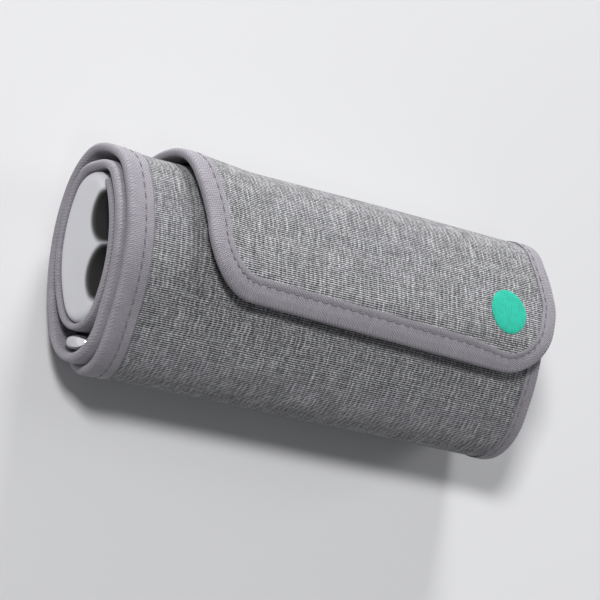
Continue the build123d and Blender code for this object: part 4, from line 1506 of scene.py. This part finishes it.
@dataclass
class ClosingFlap(Piece):
    """The band's last half turn, which narrows at its left edge, and the flap that closes the roll."""

    tape_width: float = 7.3 * MM
    flap_left: float = -51.5 * MM
    hinge_left: float = -55.0 * MM
    right: float = 76.0 * MM
    hinge_right: float = 74.0 * MM
    widest: float = 8.0 * MM
    left: float = -75.0 * MM
    foot_left: float = -70.0 * MM
    shoulder: Scales = (0.0, 8.5 * MM)
    shoulder_radius: float = 12.0 * MM
    shoulder_lead: Scales = (-20.0 * MM, 25.0 * MM)
    foot: float = 0.6 * MM
    corner: float = 18.0 * MM
    flap_low: float = -11.8 * MM
    slant: float = 2.0 * MM
    taper: float = 5.0 * MM
    left_bend: Scales = (9.0 * MM, 27.0 * MM)
    past: float = 34.0 * MM
    past_turn: float = 15.0
    outline_step: float = 0.7 * MM
    mesh: tuple[int, int] = (84, 96)
    pad_mesh: tuple[int, int] = (50, 30)
    side_share: float = 0.72
    side_fade: Scales = (60.0 * MM, 20.0 * MM)
    pad_margin: float = 3.0 * MM
    pad_start: float = 3.0 * MM
    corner_lift: float = 2.0 * MM
    edge_lift: float = 1.4 * MM
    corner_fade: float = 26.0 * MM
    corner_rise: Scales = (-14.0 * MM, 24.0 * MM)
    edge_rise: Scales = (24.0 * MM, 18.0 * MM)
    dot_radius: float = 6.5 * MM
    dot_place: Scales = (56.8 * MM, 4.1 * MM)
    dot_thick: float = 0.22 * MM
    dot_dome: float = 0.1 * MM
    dot_rim: float = 0.93
    dot_count: int = 72
    dot_shares: tuple[float, ...] = (0.02, 0.2, 0.4, 0.6, 0.8, 0.93, 0.975, 1.0)
    blend_reach: float = 5.0 * MM
    start: float = field(init=False)
    hinge: float = field(init=False)
    outline: np.ndarray = field(init=False)

    def __post_init__(self) -> None:
        """Draw the flat outline: down the left edge, round the flap and back up the right edge."""
        roll = self.roll
        self.start = float(roll.length_at(roll.outer_end))
        self.hinge = float(roll.length_at(roll.hinge))
        heights = (self.shoulder_lead[0], *self.shoulder, self.shoulder_lead[1])
        places = (self.left, self.left, self.hinge_left, self.hinge_left)
        rise = rounded(list(zip(places, heights)), self.shoulder_radius)
        side = rise[rise[:, 1] > self.foot]
        side[:, 1] = roll.length_where(2, side[:, 1], roll.outer_end, roll.hinge)
        corners = (
            (self.hinge_left, self.past),
            (self.hinge_left, self.left_bend[1]),
            (self.flap_left, self.left_bend[0]),
            (self.flap_left, self.flap_low + self.slant),
            (self.right - self.taper, self.flap_low - self.slant),
            (self.right, self.widest),
            (self.hinge_right, roll.half_width),
            (self.hinge_right, self.past),
        )
        plan = rounded([(x, roll.pod_y + y) for x, y in corners], self.corner)
        front = plan[plan[:, 1] < roll.place(0.0, roll.hinge, roll.band / 2)[1]]
        front[:, 1] = roll.length_where(1, front[:, 1], roll.hinge, roll.flap_end + self.past_turn)
        foot, head = [[self.foot_left, self.start]], [[self.hinge_right, self.start]]
        self.outline = respaced(np.concatenate([foot, side, front, head]), self.outline_step)

    def rise(self, flat: np.ndarray) -> np.ndarray:
        """Lift of the flap's free edges: most at its left edge, a little along its bottom one.

        Args:
            flat: Flat places.

        Returns:
            Their lift.
        """
        across, past = flat[..., 0], flat[..., 1] - self.hinge
        left = 1 - smooth((across - self.flap_left) / self.corner_fade)
        over, low = (smooth((past - start) / span) for start, span in (self.corner_rise, self.edge_rise))
        return self.corner_lift * left * over + self.edge_lift * low

    def inset_outline(self, inset: float) -> np.ndarray:
        """The outline moved in from its edge."""
        return self.outline + edge_frame(self.outline) * inset

    def filled(self, line: np.ndarray, columns: int, rows: int) -> np.ndarray:
        """Fill a line with a grid, split at the middles of the flap's two lower corners.

        Args:
            line: Flat points, down the left edge, along the bottom and up the right edge.
            columns: Points across the grid.
            rows: Points along it.

        Returns:
            The grid, rows by columns by 2.
        """
        first = int(np.argmax(line[:, 1] - line[:, 0]))
        last = int(np.argmax(line[:, 1] + line[:, 0]))
        left, right = counted(line[:first + 1], rows), counted(line[last:][::-1], rows)
        top, bottom = np.linspace(left[0], right[0], columns), counted(line[first:last + 1], columns)
        return patch(top, bottom, left, right)

    def bend(self, piece: bpy.types.Object, slot: str, nodes: Sequence[str] = ()) -> None:
        """Hide the CAD nodes that a piece stands in for, and bake the piece's place into its mesh.

        Args:
            piece: The piece.
            slot: Its material slot; not used.
            nodes: The nodes that it stands in for.
        """
        if nodes:
            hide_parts(*nodes)
        joint = self.roll.place(0.0, self.roll.hinge, 0.0)
        ahead = self.roll.place(0.0, self.roll.hinge + 1.0, 0.0) - joint
        ahead *= self.blend_reach / np.linalg.norm(ahead)
        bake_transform(piece)

    def flat_area(self, grid: np.ndarray) -> float:
        """Area of a flat grid: half the cross product of each cell's diagonals.

        Args:
            grid: Flat places.

        Returns:
            The area.
        """
        one = grid[1:, 1:] - grid[:-1, :-1]
        two = grid[1:, :-1] - grid[:-1, 1:]
        return float(np.abs(one[..., 0] * two[..., 1] - one[..., 1] * two[..., 0]).sum() / 2)

    def build_layers(self) -> None:
        """Face and lining, tucked into the tape."""
        roll = self.roll
        line = self.inset_outline(self.under_tape)
        line[0, 1] = line[-1, 1] = self.start
        grid = self.filled(line, *self.mesh)
        lift = self.rise(grid)
        high = roll.band + self.pucker(grid, self.tape_width)
        layers = (
            ("flap_cloth", roll.lining, high, MELANGE, ("closing_turn_face", "flap_face")),
            ("flap_knit", 0.0, roll.lining - CLEAR, KNIT, ("closing_turn_lining", "flap_lining")),
        )
        for name, low, high, finish, nodes in layers:
            piece = self.sheet(name, grid, high + lift, low + lift, finish)
            self.bend(piece, finish.slot, nodes)
            area = self.flat_area(grid)

    def build_edge(self) -> None:
        """Tape round the outline, narrower at the right edge, and its stitches on both faces."""
        thick = self.roll.band
        edge, fade = self.side_fade
        share = self.side_share + (1 - self.side_share) * smooth((edge - self.outline[:, 0]) / fade)
        tape = self.tape("flap_tape", self.outline, thick, share)
        self.bend(tape, TAPE.slot, ("closing_turn_binding", "flap_binding"))
        self.tape_size(self.outline, thick, share)
        self.bend(self.stitches("flap_stitches", [self.outline], thick, [share], (1, -1)), TAPE.slot)

    def build_hook_pad(self) -> None:
        """Hook tape under the flap, set in from its edges."""
        line = self.inset_outline(self.tape_width + self.pad_margin)
        grid = self.filled(line[line[:, 1] > self.hinge + self.pad_start], *self.pad_mesh)
        hooks = Pile("hook_tape", "hook_and_loop", PadKind.HOOKS, (0.09, 0.09, 0.1))
        high = self.rise(grid) - CLEAR
        piece = self.sheet("hook_tape_pad", grid, high, high - self.pad, hooks)
        keep(piece, FLAP_BODY, ["hook_pad"])
        self.flat_area(grid)

    def build_dot(self) -> None:
        """Plain round marker printed on the flap: rings of a disc, domed a little at its rim."""
        roll = self.roll
        x, y = self.dot_place
        middle = (x, roll.length_where(1, roll.pod_y + y, roll.hinge, roll.flap_end))
        share = np.array(self.dot_shares)
        grid = np.array(middle) + rings(share * self.dot_radius, self.dot_count)
        base = roll.band + self.rise(grid) + self.pucker(grid, FAR_IN)
        dome = self.dot_thick - self.dot_dome * smooth((share - self.dot_rim) / (1 - self.dot_rim))
        paint = Print("teal_print", "marker_print")
        faces = [roll.wind(grid, base + over) for over in (dome[:, None], CLEAR)]
        keep(disc(*faces, grid).build("marker_print_dot", [paint]), FLAP_BODY, ["marker_dot"])

    def build(self) -> None:
        """Face, lining, tape, stitches, hook pad and marker."""
        self.build_layers()
        self.build_edge()
        self.build_hook_pad()
        self.build_dot()


@dataclass
class RingHolder:
    """The chrome ring that the cuff's end runs through, and the webbing loop that holds its back bar."""

    roll: Roll
    wire: float = 4.2 * MM
    ring_depth: float = 11.2 * MM
    ring_gap: float = 0.3 * MM
    thickness: float = 0.45 * MM
    clearance: float = 0.08 * MM
    tail_gap: float = 0.12 * MM
    wrap: Scales = (-62.0, 242.0)
    tail: Scales = (14.0, 42.0)
    tail_share: float = 0.9
    counts: tuple[int, int] = (40, 24)
    column_step: float = 3.0 * MM

    def section(self) -> list[np.ndarray]:
        """Lines of the webbing's outer and inner skin in the YZ plane: an arc round the bar, then the tail.

        Returns:
            Both lines.
        """
        roll = self.roll
        bar = (self.ring_depth - self.wire) / 2
        inside = roll.end_radius + roll.sleeve_gap + roll.band + roll.tape + self.ring_gap + self.wire / 2
        reach = math.hypot(inside, bar)
        turn = roll.ring_turn + math.degrees(math.asin(bar / reach))
        sine, cosine = math.sin(math.radians(turn)), math.cos(math.radians(turn))
        out, ahead = np.array([-sine, cosine]), np.array([-cosine, -sine])
        middle = np.array([roll.pod_y - roll.flank, roll.pod_z]) + reach * out
        angle = np.radians(np.linspace(*self.wrap, self.counts[0]))[:, None]
        round_bar = np.sin(angle) * out + np.cos(angle) * ahead
        tails = np.linspace(turn + self.tail[0], turn + self.tail[1], self.counts[1])
        lines = []
        for skin in (1, 0):
            arc = middle + (self.wire / 2 + self.clearance + self.thickness * skin) * round_bar
            depth = roll.sleeve_gap + roll.band + self.tail_gap + self.thickness * (self.tail_share + skin)
            tail = np.stack(roll.oval(tails, depth), axis=-1) + (roll.pod_y, roll.pod_z)
            lines.append(np.concatenate([arc[::-1], tail]))
        return lines

    def build(self) -> None:
        """Dress the ring, and wrap the webbing round its bar with its tail on the sleeve."""
        dress("cuff_ring", Metal("polished_chrome", "ring_chrome", (0.66, 0.66, 0.68), 0.05, depth=0.002 * MM))
        low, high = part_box("ring_loop")
        across = spread(low.x, high.x, self.column_step)
        lines = self.section()
        webbing = Grosgrain(
            "ring_webbing", "webbing", (0.13, 0.13, 0.14), (0.05, 0.05, 0.055), rib=0.8 * MM, seam=50 * MM,
            width=60 * MM)
        faces = [
            np.stack(np.broadcast_arrays(across[None, :], line[:, :1], line[:, 1:]), axis=-1) for line in lines
        ]
        far = run(lines[0])
        piece = slab(*faces, grid_of(across, far)).build("webbing_loop", [webbing])
        keep(piece, ROLL_BODY, ["ring_loop"])


def dress(node: str, finish: Finish) -> None:
    """Give a CAD node a finish.

    Args:
        node: The node's name.
        finish: The finish.
    """
    target = frame["nodes"][node]
    material = finish.material()
    if not target.data.materials:
        target.data.materials.append(material)
    for slot in target.material_slots:
        slot.material = material


@dataclass
class Pod:
    """The control pod: its white shells and caps, its start button, and what they hold."""

    roll: Roll
    pocket_radius: float = 7.6 * MM
    pocket_spread: float = 8.5 * MM
    pocket_shift: float = -0.4 * MM
    pocket_lift: float = 11.9 * MM
    cell_nub: float = 0.8 * MM

    def dress_shells(self) -> None:
        """Caps, shells, button, light ring, and the cuff's springy sheet."""
        y, z = self.roll.pod_y + self.pocket_shift, self.roll.pod_z + self.pocket_lift
        centres = ((y - self.pocket_spread, z), (y + self.pocket_spread, z))
        # the cap's white is a darker copy and its finger pockets are black: painted shade
        cap = PocketedCap("pocketed_cap", "pod_white", centres=centres, radius=self.pocket_radius)
        white = Moulded("satin_white", "pod_white", (0.72, 0.72, 0.745), 0.36, 0.008 * MM)
        button = Moulded("button_satin", "button_white", (0.55, 0.56, 0.585), 0.3, 0.006 * MM, 0.4)
        springy = Moulded("springy_sheet", "curl_plastic", (0.6, 0.6, 0.62), 0.28, 0.004 * MM)
        for node, finish in (
            ("left_end_cap", cap), ("pod_rear_shell", white), ("pod_front_shell", white),
            ("battery_cap", white), ("start_button", button), ("curl_sheet", springy),
            ("status_light_ring", LightGuide("milky_guide", "light_guide")),
        ):
            dress(node, finish)

    def dress_works(self) -> None:
        """Chassis, screws, pump, valve, manifold and hose."""
        black = Moulded("chassis_black", "chassis_plastic", (0.035, 0.035, 0.04), 0.5, 0.02 * MM)
        grey = Moulded("works_grey", "chassis_plastic", (0.16, 0.16, 0.17), 0.45, 0.02 * MM)
        rubber = Moulded("seal_silicone", "seal_rubber", (0.02, 0.02, 0.022), 0.6, 0.01 * MM)
        hose = Moulded("silicone_hose", "seal_rubber", (0.35, 0.35, 0.34), 0.4, 0.004 * MM, 0.2)
        steel = Metal("screw_steel", "screw_steel", (0.6, 0.6, 0.62), 0.32, (900.0, 900.0, 20.0))
        can = Metal("motor_can", "motor_steel", (0.62, 0.62, 0.63), 0.3, (900.0, 15.0, 900.0))
        brass = Metal("crank_brass", "motor_steel", (0.7, 0.56, 0.3), 0.28)
        for node, finish in (
            ("chassis", black), ("pump_head", black), ("pump_mount", grey), ("air_manifold", grey),
            ("release_valve", can), ("valve_plunger", steel), ("sensor_hose", hose), ("cap_seal", rubber),
            ("shell_screws", steel), ("pump_motor", can), ("pump_crank", brass),
        ):
            dress(node, finish)

    def dress_electronics(self) -> None:
        """Cells, contacts, board and the parts soldered to it."""
        low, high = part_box("aaa_cells")
        ends = ((low.x + high.x) / 2 - self.cell_nub, high.x - self.cell_nub)
        nickel = Metal("nickel_spring", "contact_metal", (0.75, 0.73, 0.68), 0.26)
        for node, finish in (
            ("aaa_cells", Jacket("cell_jacket", "cell_jacket", ends=ends)),
            ("cell_contacts", nickel),
            ("contact_bridge", nickel),
            ("main_board", Board("solder_mask", "board_green")),
            ("processor_chips", Moulded("chip_epoxy", "chip_black", (0.02, 0.02, 0.022), 0.42, 0.015 * MM)),
            ("pressure_sensor", Moulded("sensor_body", "chip_black", (0.5, 0.5, 0.48), 0.4, 0.012 * MM)),
            ("wireless_module", Metal("module_shield", "contact_metal", (0.66, 0.66, 0.67), 0.36)),
            ("tact_switch", Metal("switch_cover", "contact_metal", (0.55, 0.55, 0.56), 0.34)),
        ):
            dress(node, finish)

    def build(self) -> None:
        """Dress the outside, the works and the electronics."""
        self.dress_shells()
        self.dress_works()
        self.dress_electronics()


@dataclass(frozen=True)
class Lamp:
    """Soft square lamp: its direction from the object, distance, side, power in watts and height of its aim."""

    name: str
    toward: tuple[float, float, float]
    far: float
    size: float
    power: float
    aim: float = 20.0 * MM

    def build(self) -> None:
        """Set the lamp in its place, looking at the object."""
        data = bpy.data.lights.new(self.name, "AREA")
        data.size = self.size
        data.energy = self.power
        made = bpy.data.objects.new(self.name, data)
        direction = Vector(self.toward).normalized()
        made.location = Vector((0, 0, self.aim)) + direction * self.far
        made.rotation_euler = direction.to_track_quat("Z", "Y").to_euler()
        bpy.context.scene.collection.objects.link(made)


@dataclass
class Studio:
    """Pale floor, soft light, and the camera at the photograph's viewing angle."""

    yaw: float = 35.226
    pitch: float = -11.703
    roll: float = -5.040
    shift: Scales = (3.41, 2.40)
    distance: float = 1018.2 * MM
    focal: float = 3501.9
    image: float = 600.0
    sensor: float = 36.0
    clip: float = 20.0
    origin: tuple[float, float, float] = (1.0 * MM, 1.086 * MM, 18.0 * MM)
    floor_radius: float = 6.0
    floor_top: float = -0.05 * MM
    floor_thick: float = 20.0 * MM
    floor_shares: tuple[float, ...] = (0.01, 0.3, 1.0)
    floor_count: int = 64
    sky: Colour = (0.93, 0.96, 1.0)
    sky_strength: float = 0.12
    lamps: tuple[Lamp, ...] = (
        Lamp("key", (-0.55, 0.26, 0.8), 2.2, 0.4, 37.0),
        Lamp("front", (-0.3, -0.4, 1.0), 2.2, 0.4, 2.5),
        Lamp("rim", (0.1, 1.0, 0.22), 2.0, 0.4, 46.0),
        Lamp("fill", (1.0, 0.3, 0.45), 2.4, 0.8, 12.0),
    )

    def axes(self) -> np.ndarray:
        """Directions of the image in the model's frame, from its yaw, pitch and roll in turn.

        Returns:
            Rows: the image's right, its up, and the way back to the camera.
        """
        yaw, pitch, roll = (math.radians(angle) for angle in (self.yaw, self.pitch, self.roll))
        about_y = [[math.cos(yaw), 0, math.sin(yaw)], [0, 1, 0], [-math.sin(yaw), 0, math.cos(yaw)]]
        about_x = [[1, 0, 0], [0, math.cos(pitch), -math.sin(pitch)], [0, math.sin(pitch), math.cos(pitch)]]
        about_z = [[math.cos(roll), -math.sin(roll), 0], [math.sin(roll), math.cos(roll), 0], [0, 0, 1]]
        return np.array(about_z) @ np.array(about_x) @ np.array(about_y)

    def build_camera(self) -> None:
        """Camera on the image's axis, at the photograph's distance."""
        axes = self.axes()
        data = bpy.data.cameras.new("camera")
        data.sensor_width = self.sensor
        data.lens = self.focal / self.image * self.sensor
        data.shift_x = -self.shift[0] / self.image
        data.shift_y = self.shift[1] / self.image
        data.clip_end = self.clip
        made = bpy.data.objects.new("camera", data)
        turned = np.eye(4)
        turned[:3, :3], turned[:3, 3] = axes.T, axes[2] * self.distance + np.array(self.origin)
        made.matrix_world = Matrix(turned.tolist())
        bpy.context.scene.collection.objects.link(made)
        bpy.context.scene.camera = made

    def build_floor(self) -> None:
        """Round pale floor, just under the roll."""
        flat = rings(self.floor_radius * np.array(self.floor_shares), self.floor_count)
        top = np.concatenate([flat, np.full((*flat.shape[:2], 1), self.floor_top)], axis=-1)
        low = top - np.array([0, 0, self.floor_thick])
        disc(top, low, flat).build("floor", [Backdrop("pale_floor", "floor")])

    def build_world(self) -> None:
        """Even pale surroundings: plain white to the camera, in metal and through glass, softer as light."""
        world = bpy.data.worlds.new("surroundings")
        bpy.context.scene.world = world
        tree = Tree(world)
        path = tree.node("ShaderNodeLightPath").outputs
        seen = tree.math("MAXIMUM", path["Is Camera Ray"], path["Is Transmission Ray"])
        seen = seen.math("MAXIMUM", path["Is Glossy Ray"])
        light, white = (
            tree.node("ShaderNodeBackground", None, {0: colour, 1: strength}).outputs[0]
            for colour, strength in ((self.sky, self.sky_strength), ((1.0, 1.0, 1.0), 1.0))
        )
        tree.end("ShaderNodeOutputWorld", tree.node("ShaderNodeMixShader", None, {0: seen, 1: light, 2: white}))

    def build(self) -> None:
        """Camera, floor, surroundings and lamps."""
        bpy.context.scene.view_settings.view_transform = "Standard"
        self.build_camera()
        self.build_floor()
        self.build_world()
        for lamp in self.lamps:
            lamp.build()


def main() -> None:
    """Build the studio and the object, sub-assembly by sub-assembly, and report each piece."""
    logging.basicConfig(level=logging.INFO, format="%(name)s %(message)s")
    roll = Roll()
    for part in (Studio(), Cuff(roll), ClosingFlap(roll), RingHolder(roll), Pod(roll)):
        part.build()
    for piece in bpy.data.objects:
        if piece.type == "MESH":
            finishes = ", ".join(slot.material.name for slot in piece.material_slots if slot.material)
            log.info("%s: %d faces, %s", piece.name, len(piece.data.polygons), finishes or "replaced")


if __name__ == "__main__":
    main()
